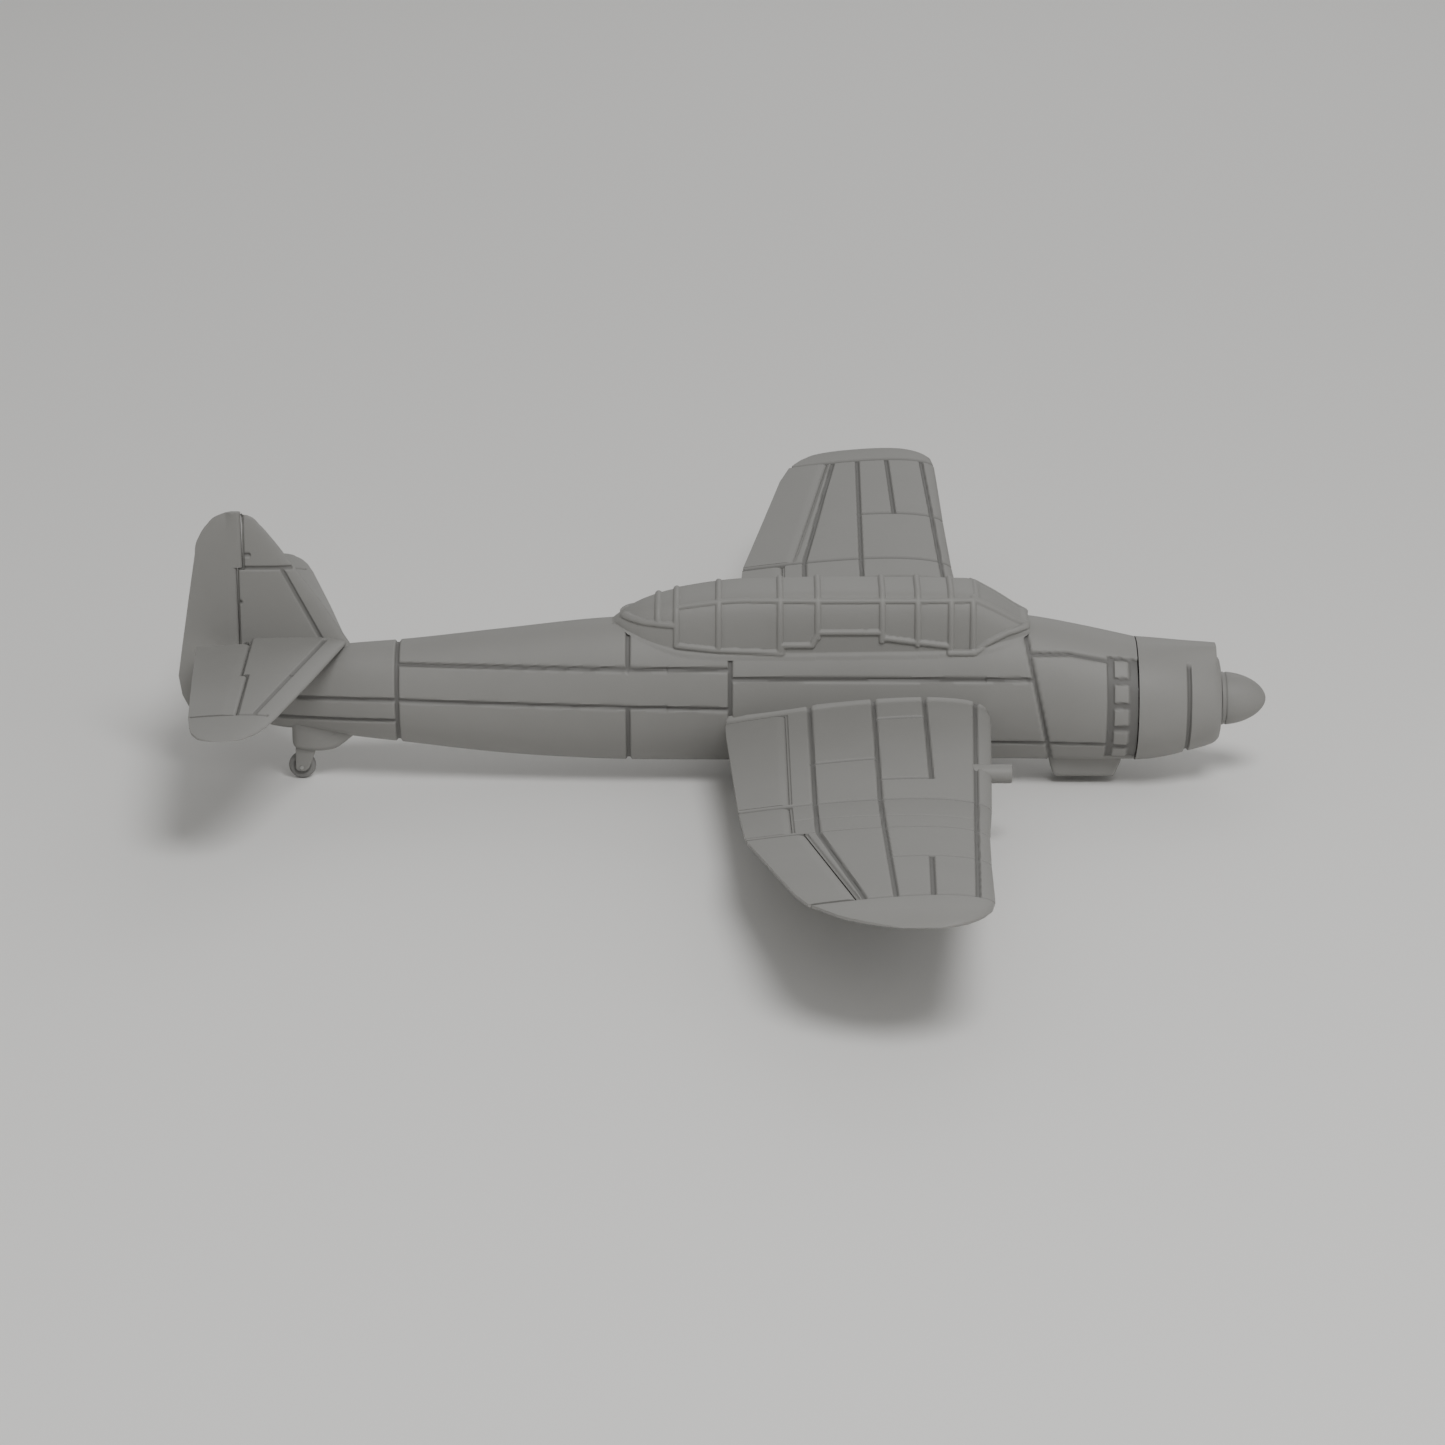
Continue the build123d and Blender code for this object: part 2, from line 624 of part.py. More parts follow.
# ---- power train on the thrust line
def round_at(x, radius, length):
    return Pos(x, 0, thrust_z) * Rot(0, 90, 0) * Cylinder(radius, length, align=(Align.CENTER, Align.CENTER, Align.MIN))


base_x = firewall_x
can_x = base_x + motor_base_length + 0.6
motor_base = round_at(base_x, motor_radius, motor_base_length) - round_at(base_x - 1, shaft_radius + 0.05, 20)
motor_base = motor_base + (round_at(base_x - 4, 3.0, 4) - round_at(base_x - 5, shaft_radius + 0.05, 20))
plate_x = 172.0
rotor = round_at(can_x, motor_radius, motor_can_length) + round_at(base_x - 4, shaft_radius, cowl_front_x + 8 - base_x)
spinner_base_x = spinner_tip_x - spinner_length
profile = [(spinner_base_x, 0), (spinner_base_x, spinner_radius)]
for i in range(1, 9):
    share = i / 9
    profile.append((spinner_base_x + spinner_length * share, spinner_radius * (1 - share**2) ** 0.58))
profile.append((spinner_tip_x, 0))
curve = Spline(*[(x, 0, thrust_z + r) for x, r in profile[1:]])
low = Polyline((spinner_tip_x, 0, thrust_z), (spinner_base_x, 0, thrust_z), (spinner_base_x, 0, thrust_z + spinner_radius))
spinner = revolve(Face(Wire([curve, *low.edges()])), Axis((0, 0, thrust_z), (1, 0, 0)), 360)
spinner = spinner - round_at(spinner_base_x + 2.0, spinner_radius - 3.0, 5.0) - rotor
dummy_engine = round_at(plate_x, 16.6, 2.0) - round_at(plate_x - 1, 3.2, 5)
for i in range(9):
    turn = Pos(0, 0, thrust_z) * Rot(i * 40, 0, 0) * Pos(0, 0, -thrust_z)
    dummy_engine = dummy_engine + turn * (Pos(plate_x + 3.2, 0, thrust_z + 8.6) * Rot(0, 0, 0) * Cylinder(2.2, 9.0))
dummy_engine = dummy_engine - round_at(plate_x - 4, 3.2, 12)

# ---- radio gear on a tray in the body
tray_z = 38.0
tray = Pos(58, 0, tray_z) * Box(104, 26, 1.6)
battery = Pos(52, 0, tray_z + 0.8 + 6.5) * Box(52, 19, 13)
battery = fillet(battery.edges(), 1.2)
receiver = Pos(92, 0, tray_z + 0.8 + 3) * Box(18, 14, 6)
controller = Pos(126, 0, thrust_z - 4) * Box(24, 16, 6)
controller = fillet(controller.edges().filter_by(Axis.X), 1.0)

# ---- halves of the body, split on Y = 0
spars = [spar, mirror(spar, about=Plane.XZ)]
cells = shell - spars[0] - spars[1] - fin - tailplane
half_space = Pos(0, -50, 30) * Box(500, 100, 200)
body_right = cells & half_space
body_left = cells - half_space
body_right = body_right.solids().sort_by(SortBy.VOLUME)[-1]
body_left = body_left.solids().sort_by(SortBy.VOLUME)[-1]

gun_pair = both(gun - gun_bore)
socket_pair = both(socket_block - socket_bore)
for name, pair in {
    "wing_inner": both(wing_inner),
    "wing_outer": both(wing_outer),
    "inner_flap": both(inner_flap.make(inner_loft, flap_link.station)),
    "outer_flap": both(outer_flap.make(outer_loft)),
    "aileron": both(aileron.make(outer_loft, aileron_link.station)),
    "wing_hinge_pins": both(Compound([p for s in (inner_flap, outer_flap, aileron) for p in s.pins()])),
    "spar_tube": spars,
    "gun_barrel": gun_pair,
    "gear_socket": socket_pair,
    "elevator": (elevator_right, elevator_left),
    "fuselage": (body_right, body_left),
    "flap_servo": both(flap_link.servo()),
    "flap_servo_arm": both(flap_link.arm()),
    "flap_rod": both(flap_link.rod()),
    "aileron_servo": both(aileron_link.servo()),
    "aileron_servo_arm": both(aileron_link.arm()),
    "aileron_rod": both(aileron_link.rod()),
}.items():
    save(name + "_right", pair[0])
    save(name + "_left", pair[1])

for name, shape in {
    "cowl": cowl,
    "canopy_hatch": canopy,
    "belly_scoop": scoop,
    "fin": fin,
    "tailplane": tailplane,
    "rudder": rudder_piece,
    "elevator_joiner": joiner,
    "tail_hinge_pins": Compound([*elevator.pins(), mirror(elevator.pins()[0], about=Plane.XZ), hinge_wire]),
    "tail_wheel": tail_wheel,
    "tail_wheel_strut": strut,
    "tail_wheel_fairing": tail_fairing,
    "spinner": spinner,
    "rotor": rotor,
    "motor_base": motor_base,
    "firewall": firewall,
    "dummy_engine": dummy_engine,
    "battery": battery,
    "battery_tray": tray,
    "receiver": receiver,
    "speed_controller": controller,
    "elevator_servo": mirror(elevator_link.servo(), about=Plane.XZ),
    "elevator_servo_arm": mirror(elevator_link.arm(), about=Plane.XZ),
    "elevator_rod": mirror(elevator_link.rod(), about=Plane.XZ),
    "rudder_servo": rudder_link.servo(),
    "rudder_servo_arm": rudder_link.arm(),
    "rudder_rod": rudder_link.rod(),
}.items():
    save(name, shape)
print("parts", len(made))
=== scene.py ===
import json
import math

import bmesh
import bpy
import numpy as np
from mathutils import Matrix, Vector


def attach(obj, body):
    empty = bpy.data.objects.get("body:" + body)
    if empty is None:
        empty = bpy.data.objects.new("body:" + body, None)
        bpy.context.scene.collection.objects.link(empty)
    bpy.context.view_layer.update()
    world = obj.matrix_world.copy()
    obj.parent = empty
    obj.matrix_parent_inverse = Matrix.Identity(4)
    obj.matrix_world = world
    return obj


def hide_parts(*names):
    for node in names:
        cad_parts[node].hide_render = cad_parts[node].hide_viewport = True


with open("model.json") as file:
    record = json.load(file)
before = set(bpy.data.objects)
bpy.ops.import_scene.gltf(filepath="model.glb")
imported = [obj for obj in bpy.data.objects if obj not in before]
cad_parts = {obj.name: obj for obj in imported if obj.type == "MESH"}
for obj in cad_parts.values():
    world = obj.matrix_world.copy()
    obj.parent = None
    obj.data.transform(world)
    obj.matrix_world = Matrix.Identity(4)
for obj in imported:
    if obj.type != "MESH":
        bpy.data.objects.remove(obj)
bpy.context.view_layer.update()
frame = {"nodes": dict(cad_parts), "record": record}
mm = 0.001


# shared shaping helpers (millimetres until a mesh is written)
def spaced(low, high, step, marks=(), fine=0.32, reach=1.9):
    edges = {round(low, 4), round(high, 4)}
    for m in marks:
        edges.update(round(min(max(e, low), high), 4) for e in (m - reach, m + reach))
    edges = sorted(edges)
    out = [np.array([edges[0]])]
    for a, b in zip(edges, edges[1:]):
        near = any(m - reach <= 0.5 * (a + b) <= m + reach for m in marks)
        count = max(1, math.ceil((b - a) / (fine if near else step)))
        out.append(np.linspace(a, b, count + 1)[1:])
    return np.concatenate(out)


# smooth values through rows of (key, value, ...) at the keys given
def curveTable(rows, at):
    rows = np.array(rows, float)
    keys, values = rows[:, 0], rows[:, 1:]
    slope = np.gradient(values, keys, axis=0)
    at = np.clip(at, keys[0], keys[-1])
    i = np.clip(np.searchsorted(keys, at, side="right") - 1, 0, len(keys) - 2)
    h = (keys[i + 1] - keys[i])[:, None]
    t = ((at - keys[i])[:, None]) / h
    a, b = values[i], values[i + 1]
    return (
        a * (2 * t**3 - 3 * t**2 + 1)
        + slope[i] * h * (t**3 - 2 * t**2 + t)
        + b * (3 * t**2 - 2 * t**3)
        + slope[i + 1] * h * (t**3 - t**2)
    )


def lineTable(rows, at):
    rows = np.array(rows, float)
    return np.stack([np.interp(at, rows[:, 0], rows[:, k]) for k in range(1, rows.shape[1])], axis=1)


def distanceTo(path, u, v):
    best = np.full(u.shape, 1e6)
    for (u0, v0), (u1, v1) in zip(path, path[1:]):
        du, dv = u1 - u0, v1 - v0
        t = np.clip(((u - u0) * du + (v - v0) * dv) / max(du * du + dv * dv, 1e-9), 0, 1)
        best = np.minimum(best, np.hypot(u - u0 - t * du, v - v0 - t * dv))
    return best


def channel(distance, half=1.15, flat=0.42, depth=0.95):
    t = np.clip((half - distance) / (half - flat), 0, 1)
    return -depth * t * t * (3 - 2 * t)


def bead(distance, half=1.15, height=0.95):
    return height * np.sqrt(np.clip(1 - (distance / half) ** 2, 0, 1))


def gridNormals(points, stations=None):
    du = np.gradient(points, axis=0)
    dv = np.gradient(points, axis=1)
    n = np.cross(du, dv)
    n = n / np.maximum(np.linalg.norm(n, axis=2, keepdims=True), 1e-9)
    if stations is not None:
        for i in np.nonzero(np.diff(stations) < 1e-6)[0]:
            if 0 < i < len(stations) - 2:
                n[i], n[i + 1] = n[i - 1], n[i + 2]
    return n


# one welded mesh from rows of section points; marks is a per-point value kept as an attribute
def loftGrid(name, points, marks=None, closeEnds=True, mirrored=False):
    rows, cols = points.shape[:2]
    bm = bmesh.new()
    bmesh.ops.create_grid(bm, x_segments=cols - 1, y_segments=rows - 1, size=1.0)
    mesh = bpy.data.meshes.new(name)
    bm.to_mesh(mesh)
    bm.free()
    flat = np.empty(len(mesh.vertices) * 3)
    mesh.vertices.foreach_get("co", flat)
    flat = flat.reshape(-1, 3)
    col = np.rint((flat[:, 0] + 1) / 2 * (cols - 1)).astype(int)
    row = np.rint((flat[:, 1] + 1) / 2 * (rows - 1)).astype(int)
    where = points[row, col] * mm
    if mirrored:
        where = where * np.array([1, -1, 1])
    mesh.vertices.foreach_set("co", where.ravel())
    tag = mesh.attributes.new("relief", "FLOAT", "POINT")
    values = np.zeros(len(where)) if marks is None else marks[row, col]
    tag.data.foreach_set("value", values)
    bm = bmesh.new()
    bm.from_mesh(mesh)
    bmesh.ops.remove_doubles(bm, verts=bm.verts, dist=0.00002)
    bmesh.ops.dissolve_degenerate(bm, edges=bm.edges, dist=0.000004)
    if closeEnds:
        bmesh.ops.holes_fill(bm, edges=[e for e in bm.edges if e.is_boundary], sides=0)
    bmesh.ops.recalc_face_normals(bm, faces=bm.faces)
    for f in bm.faces:
        f.smooth = True
    for e in bm.edges:
        e.smooth = len(e.link_faces) != 2 or e.calc_face_angle(0) < math.radians(48)
    bm.to_mesh(mesh)
    bm.free()
    piece = bpy.data.objects.new(name, mesh)
    bpy.context.collection.objects.link(piece)
    print(name, len(mesh.polygons))
    return piece


# materials
def tint(code):
    parts = [int(code[i:i + 2], 16) / 255 for i in (1, 3, 5)]
    return tuple(c / 12.92 if c <= 0.04045 else ((c + 0.055) / 1.055) ** 2.4 for c in parts) + (1.0,)


def addNode(tree, kind, links=None, **settings):
    node = tree.nodes.new(kind)
    for key, value in settings.items():
        if hasattr(node, key):
            setattr(node, key, value)
        else:
            node.inputs[key.replace("_", " ")].default_value = value
    for socket, source in (links or {}).items():
        tree.links.new(source, node.inputs[socket])
    return node


def newMaterial(name):
    material = bpy.data.materials.new(name)
    material.use_nodes = True
    tree = material.node_tree
    tree.nodes.clear()
    out = addNode(tree, "ShaderNodeOutputMaterial")
    shader = addNode(tree, "ShaderNodeBsdfPrincipled")
    tree.links.new(shader.outputs["BSDF"], out.inputs["Surface"])
    place = addNode(tree, "ShaderNodeTexCoord").outputs["Object"]
    return material, tree, shader, place


# moulded plastic: faint mottling, fine tool grain, painted shade darkening the engraved lines
def mouldedPlastic(name, body, shade, roughness, grain=0.00045, depth=0.00003, relief=False):
    material, tree, shader, place = newMaterial(name)
    wide = addNode(tree, "ShaderNodeTexNoise", {"Vector": place}, Scale=38.0, Detail=4.0, Roughness=0.55)
    mix = addNode(tree, "ShaderNodeMix", {"Factor": wide.outputs["Fac"]}, data_type="RGBA")
    mix.inputs[6].default_value = tint(body)
    mix.inputs[7].default_value = tint(shade)
    colour = mix.outputs[2]
    if relief:
        mark = addNode(tree, "ShaderNodeAttribute", attribute_name="relief").outputs["Fac"]
        low = addNode(tree, "ShaderNodeMapRange", {"Value": mark}, From_Min=-0.1, From_Max=-1.0, To_Max=0.6)
        # painted shade: the deeper a line is engraved, the more its colour is mixed towards dark grey
        groove_shade = addNode(tree, "ShaderNodeMix", {"Factor": low.outputs["Result"], 6: colour}, data_type="RGBA")
        groove_shade.inputs[7].default_value = tint("#3c3b3a")
        colour = groove_shade.outputs[2]
    fine = addNode(tree, "ShaderNodeTexNoise", {"Vector": place}, Scale=1 / grain, Detail=3.0, Roughness=0.6)
    bump = addNode(tree, "ShaderNodeBump", {"Height": fine.outputs["Fac"]}, Distance=depth, Strength=0.9)
    span = {"To_Min": roughness - 0.06, "To_Max": roughness + 0.08}
    rough = addNode(tree, "ShaderNodeMapRange", {"Value": fine.outputs["Fac"]}, **span)
    tree.links.new(colour, shader.inputs["Base Color"])
    tree.links.new(rough.outputs["Result"], shader.inputs["Roughness"])
    tree.links.new(bump.outputs["Normal"], shader.inputs["Normal"])
    return material


# bare or finished metal with fine drawing or turning marks
def metal(name, body, roughness, stretch=(1, 1, 1), scale=900.0):
    material, tree, shader, place = newMaterial(name)
    squeeze = addNode(tree, "ShaderNodeMapping", {"Vector": place}, Scale=stretch)
    streak = addNode(
        tree, "ShaderNodeTexNoise", {"Vector": squeeze.outputs["Vector"]}, Scale=scale, Detail=3.0
    )
    span = {"To_Min": roughness - 0.08, "To_Max": roughness + 0.12}
    rough = addNode(tree, "ShaderNodeMapRange", {"Value": streak.outputs["Fac"]}, **span)
    bump = addNode(tree, "ShaderNodeBump", {"Height": streak.outputs["Fac"]}, Distance=0.00001, Strength=0.5)
    shader.inputs["Base Color"].default_value = tint(body)
    shader.inputs["Metallic"].default_value = 1.0
    tree.links.new(rough.outputs["Result"], shader.inputs["Roughness"])
    tree.links.new(bump.outputs["Normal"], shader.inputs["Normal"])
    return material


# thin birch plywood with long grain
def plyWood(name):
    material, tree, shader, place = newMaterial(name)
    squeeze = addNode(tree, "ShaderNodeMapping", {"Vector": place}, Scale=(0.06, 1, 1))
    grain = addNode(
        tree, "ShaderNodeTexNoise", {"Vector": squeeze.outputs["Vector"]}, Scale=700.0, Detail=5.0
    )
    mix = addNode(tree, "ShaderNodeMix", {"Factor": grain.outputs["Fac"]}, data_type="RGBA")
    mix.inputs[6].default_value = tint("#c9a878")
    mix.inputs[7].default_value = tint("#9d7747")
    bump = addNode(tree, "ShaderNodeBump", {"Height": grain.outputs["Fac"]}, Distance=0.00004, Strength=0.6)
    tree.links.new(mix.outputs[2], shader.inputs["Base Color"])
    tree.links.new(bump.outputs["Normal"], shader.inputs["Normal"])
    shader.inputs["Roughness"].default_value = 0.62
    return material


# drawn carbon fibre: dark, with lengthwise strands
def carbonRod(name):
    material, tree, shader, place = newMaterial(name)
    squeeze = addNode(tree, "ShaderNodeMapping", {"Vector": place}, Scale=(1, 0.04, 1))
    strand = addNode(
        tree, "ShaderNodeTexNoise", {"Vector": squeeze.outputs["Vector"]}, Scale=2600.0, Detail=2.0
    )
    mix = addNode(tree, "ShaderNodeMix", {"Factor": strand.outputs["Fac"]}, data_type="RGBA")
    mix.inputs[6].default_value = tint("#131415")
    mix.inputs[7].default_value = tint("#2b2d30")
    tree.links.new(mix.outputs[2], shader.inputs["Base Color"])
    shader.inputs["Roughness"].default_value = 0.38
    return material


finish = {
    "body": "#8c8b88", "bodyShade": "#868582", "bodyRoughness": 0.56,
    "tyre": "#838280", "tyreShade": "#7b7a78",
}
slotMaterials = {
    "grey_plastic": mouldedPlastic(
        "grey_moulded_plastic", finish["body"], finish["bodyShade"], finish["bodyRoughness"], relief=True
    ),
    "steel_wire": metal("steel_music_wire", "#b4b4b2", 0.3),
    "carbon_tube": carbonRod("carbon_fibre_rod"),
    "white_nylon": mouldedPlastic("white_nylon", "#e6e4dc", "#dedbd2", 0.42),
    "servo_case": mouldedPlastic("blue_servo_case", "#1d3f77", "#17366a", 0.28, depth=0.00001),
    "motor_can": metal("black_anodised_can", "#3a3b3e", 0.35),
    "motor_alloy": metal("turned_aluminium", "#c8c9ca", 0.3),
    "plywood": plyWood("birch_plywood"),
    "battery_wrap": mouldedPlastic(
        "battery_heat_shrink", "#1c2f57", "#182849", 0.3, grain=0.004, depth=0.0001
    ),
    "dark_plastic": mouldedPlastic("dark_case_plastic", "#26272a", "#1f2022", 0.5),
    "black_plastic": mouldedPlastic("black_plastic", "#232325", "#1b1b1d", 0.55),
    "wheel_rubber": mouldedPlastic("grey_wheel_plastic", finish["tyre"], finish["tyreShade"], 0.62),
}
slotOf = {s["node"]: s["material_slot"] for s in frame["record"]["subparts"]}


def settle(piece, body, slotName, *nodes):
    piece.data.materials.clear()
    piece.data.materials.append(slotMaterials[slotName])
    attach(piece, body)
    if nodes:
        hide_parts(*nodes)


def bothSides(name, body, node, points, marks=None, **extra):
    for side, mirrored in (("right", False), ("left", True)):
        piece = loftGrid(f"{name}_{side}_skin", points, marks, mirrored=mirrored, **extra)
        settle(piece, body.format(side=side), "grey_plastic", node.format(side=side))


# wing
wing = {
    "tipDroop": 2.3, "droopFrom": 243.0,  # the tips hang a little below the straight panel
    "root": 12.0, "crank": 105.0, "break": 147.0, "tip": 262.0, "aileronEnd": 239.0,
    "ratio": 0.122, "edge": 0.9, "step": 0.62, "noseClearance": 0.35, "lip": 1.8, "endGap": 0.5,
    "filletRadius": 1.6, "start": 18.0, "noseShare": 0.92,
}
outerSpan = wing["tip"] - wing["break"]
wingRows = [
    (wing["root"], 94.0, 2.4, 33.1, 28.4), (18.0, 94.6, 2.0, 32.67, 28.23), (21.0, 96.4, 1.4, 32.45, 28.14),
    (25.0, 97.2, 1.1, 32.16, 28.02), (31.0, 97.2, 1.2, 31.73, 27.85), (69.4, 95.45, 3.46, 28.97, 26.73),
    (wing["crank"], 93.8, 5.6, 26.4, 25.7),
    (wing["break"], 90.9, 7.9, 32.7, 32.0),
    (wing["break"] + 0.35 * outerSpan, 89.2, 15.9, 38.8, 38.1),
    (wing["break"] + 0.69 * outerSpan, 88.0, 23.6, 44.8, 44.1),
    (wing["break"] + 0.80 * outerSpan, 87.5, 27.5, 46.7, 46.0),
    (wing["break"] + 0.87 * outerSpan, 86.2, 32.8, 47.9, 47.4),
    (wing["break"] + 0.93 * outerSpan, 82.0, 39.6, 48.9, 48.6),
    (wing["break"] + 0.975 * outerSpan, 75.8, 49.5, 49.7, 49.5),
    (wing["tip"], 69.0, 57.0, 50.1, 50.0),
]
bodyRows = [
    (-176.5, 37.0, 0.15, 0.47),
    (-165.5, 36.0, 0.30, 0.56),
    (-150.0, 34.9, 0.49, 0.575),
    (-135.0, 34.5, 0.61, 0.645),
    (-119.0, 34.2, 0.70, 0.70),
    (-82.0, 34.1, 0.80, 0.855),
    (-44.5, 35.0, 0.87, 0.975),
    (0.0, 35.5, 0.90, 1.01),
    (60.0, 35.7, 0.93, 1.01),
    (113.0, 35.4, 0.97, 0.985),
    (132.0, 33.4, 1.02, 0.92),
    (151.3, 31.4, 1.07, 0.825),
]
bodyHalfWidth, bodyHalfHeight = 21.0, 27.4


def thickness(share, ratio):
    s = np.clip(share, 0, 1)
    return 5 * ratio * (0.2969 * np.sqrt(s) - 0.126 * s - 0.3516 * s**2 + 0.2843 * s**3 - 0.1015 * s**4)


def bodyHalf(x, z):
    row = curveTable(bodyRows, np.ravel(x))
    zc, w, b = row[:, 0], row[:, 1] * bodyHalfWidth, row[:, 2] * bodyHalfHeight
    q = np.clip(1 - ((np.ravel(z) - zc) / b) ** 2, 0, 1)
    return (w * np.sqrt(q)).reshape(np.shape(x))


# thin lifting surface: rows of (station, LE, TE, LE height, TE height), laid out by place
class Foil:
    def __init__(self, rows, ratio, edge, roundFrom=None, roundTo=None):
        self.rows, self.ratio, self.edge, self.roundFrom, self.roundTo = rows, ratio, edge, roundFrom, roundTo

    def at(self, stations):
        if self.roundFrom is None:
            return lineTable(self.rows, stations)
        straight = lineTable(self.rows, stations)
        smooth = curveTable(self.rows, stations)
        blend = np.clip((stations - self.roundFrom + 8) / 8, 0, 1)[:, None]
        return straight * (1 - blend) + smooth * blend

    def trim(self, stations):
        if self.roundFrom is None:
            return np.ones(len(stations))
        t = np.clip((stations - self.roundFrom) / (self.roundTo - self.roundFrom), 0, 1)
        return np.sqrt(np.clip(1 - t**2.6, 0, 1))

    # mid-height and half-thickness at x for each station
    def skin(self, stations, x, side):
        le, te, zl, zt = self.at(stations).T
        share = (le[:, None] - x) / np.maximum(le - te, 1e-6)[:, None]
        half = thickness(share, self.ratio) * (le - te)[:, None] + 0.5 * self.edge * np.clip(share, 0, 1)
        mid = zl[:, None] + (zt - zl)[:, None] * share
        return mid, half * self.trim(stations)[:, None] * side


def frontShares(count):
    q = np.linspace(0, 1, count)
    return q * q / (q + 0.05) * 1.05


# rows of closed sections: nose to lip, then round the hollow or round the trailing edge
def fixedGrid(foil, stations, lips, noses, hinges, step, solid):
    le, te = foil.at(stations).T[:2]
    chord = np.max(le - te)
    front = frontShares(int(chord / step))
    tail = max(9, int(34 / step) | 1)
    rows = []
    for i in range(len(stations)):
        one = stations[i:i + 1]
        x = le[i] - front * (le[i] - lips[i])
        mid, up = foil.skin(one, x[None, :], 1)
        top = np.stack([x, (mid + up)[0]], 1)
        low = np.stack([x, (mid - up)[0]], 1)
        if solid[i]:
            x = np.linspace(lips[i], te[i], tail // 2 + 1)[1:]
            mid, up = foil.skin(one, x[None, :], 1)
            over, under = np.stack([x, (mid + up)[0]], 1), np.stack([x, (mid - up)[0]], 1)
            rear = np.concatenate([over, under[::-1]])
        else:
            angle = math.acos(min(0.98, (lips[i] - hinges[i]) / noses[i]))
            phi = np.linspace(angle, -angle, 2 * (tail // 2))
            m, _ = foil.skin(one, np.array([[hinges[i]]]), 1)
            rear = np.stack([hinges[i] + noses[i] * np.cos(phi), m[0, 0] + noses[i] * np.sin(phi)], 1)
        rows.append(np.concatenate([top, rear, low[::-1]]))
    return np.array(rows), len(front)


# rows of closed sections of a control surface: round nose, then skins to the trailing edge
def movingGrid(foil, stations, hinges, radii, jogs, step):
    te = foil.at(stations).T[1]
    count = max(8, int(np.max(hinges - te) / step))
    turn = np.linspace(math.pi / 2, -math.pi / 2, 15)
    rows = []
    for i in range(len(stations)):
        one = stations[i:i + 1]
        m, _ = foil.skin(one, np.array([[hinges[i]]]), 1)
        centre = hinges[i] + jogs[i]
        nose = np.stack([centre + radii[i] * np.cos(turn), m[0, 0] + radii[i] * np.sin(turn)], 1)
        x = np.linspace(hinges[i], te[i], count + 1)
        mid, up = foil.skin(one, x[None, :], 1)
        ease = np.clip((hinges[i] - x) / 2.0, 0, 1)
        up = up * ease + radii[i] * (1 - ease)
        low = np.stack([x, (mid - up)[0]], 1)
        top = np.stack([x, (mid + up)[0]], 1)
        rows.append(np.concatenate([nose, low, top[::-1], nose[:1]]))
    return np.array(rows)


# repeat the station at each jump so a wall stands there; gaps are (start, end) of the hollows
def stepRows(stations, gaps):
    out, hollow = [], []
    for s in stations:
        inside = any(a < s < b for a, b in gaps)
        starts = any(abs(s - a) < 1e-6 for a, b in gaps)
        ends = any(abs(s - b) < 1e-6 for a, b in gaps)
        if starts or ends:
            out += [s, s]
            hollow += [ends, starts]
        else:
            out.append(s)
            hollow.append(inside)
    return np.array(out), np.array(hollow)


wingFoil = Foil(wingRows, wing["ratio"], wing["edge"], 252.0, wing["tip"])
sideGap = wing["endGap"] + 1.3
innerFlap = {"from": 22.0, "to": wing["crank"] - sideGap - 0.3, "x": (21.0, 21.6)}
outerFlap = {"from": wing["crank"] + sideGap + 0.3, "to": wing["break"] - sideGap, "x": (21.6, 22.0)}
aileron = {"from": wing["break"] + sideGap, "to": wing["aileronEnd"], "x": (26.4, 41.4)}
for part in (innerFlap, outerFlap, aileron):
    ends = np.array([part["from"], part["to"]])
    part["radius"] = wing["noseShare"] * np.diag(wingFoil.skin(ends, np.array([part["x"]] * 2), 1)[1])


def hingeAt(part, stations, key):
    return np.interp(stations, (part["from"], part["to"]), part[key])


# panel lines in (x, distance out): full-width channels and thin scribes
wingChannels = [
    [(98, 105), (0, 105)], [(98, 147), (0, 147)], [(54.9, 188), (90, 188)], [(27, 239.6), (90, 239.6)],
    [(31.6, 69.5), (54.9, 69.5)], [(54.9, 34.5), (73.3, 34.5)], [(54.9, 87.5), (73.6, 87.5)],
    [(31.6, 18), (32.4, 147), (45.6, 239.6)], [(54.9, 18), (54.9, 147), (55.6, 239.6)],
    [(73.3, 18), (73.4, 87.5)], [(92.1, 18), (88.5, 105), (86.4, 147), (84.4, 190), (82, 239.6)],
    [(69.2, 188), (67.6, 239.6)],
]
wingScribes = [[(33, 127), (54.9, 130), (87, 131.5)], [(8, 130), (31, 127)]]


def wingRelief(x, out):
    h = np.zeros(x.shape)
    for path in wingChannels:
        h = np.minimum(h, channel(distanceTo(path, x, out)))
    for path in wingScribes:
        h = np.minimum(h, channel(distanceTo(path, x, out), half=0.8, flat=0.2, depth=0.4))
    return h


# lowest and highest corner of a carried-over piece in mm
def nodeBox(node):
    obj = frame["nodes"][node]
    corners = np.array([obj.matrix_world @ Vector(c) for c in obj.bound_box]) * 1000
    return corners.min(axis=0), corners.max(axis=0)


# servo bays open on the underside: each takes the servo and its arm
bay = {"room": 0.7, "roof": 3.7, "skin": 0.9}
bays = []
for kind in ("flap", "aileron"):
    boxes = [nodeBox(kind + "_servo_right"), nodeBox(kind + "_servo_arm_right")]
    low = np.min([b[0] for b in boxes], axis=0) - bay["room"]
    high = np.max([b[1] for b in boxes], axis=0) + bay["room"]
    bays.append((low[0], high[0], -high[1], -low[1]))
legHole = {"x": 72.0, "out": 98.0, "radius": 1.75, "deep": 1.9}


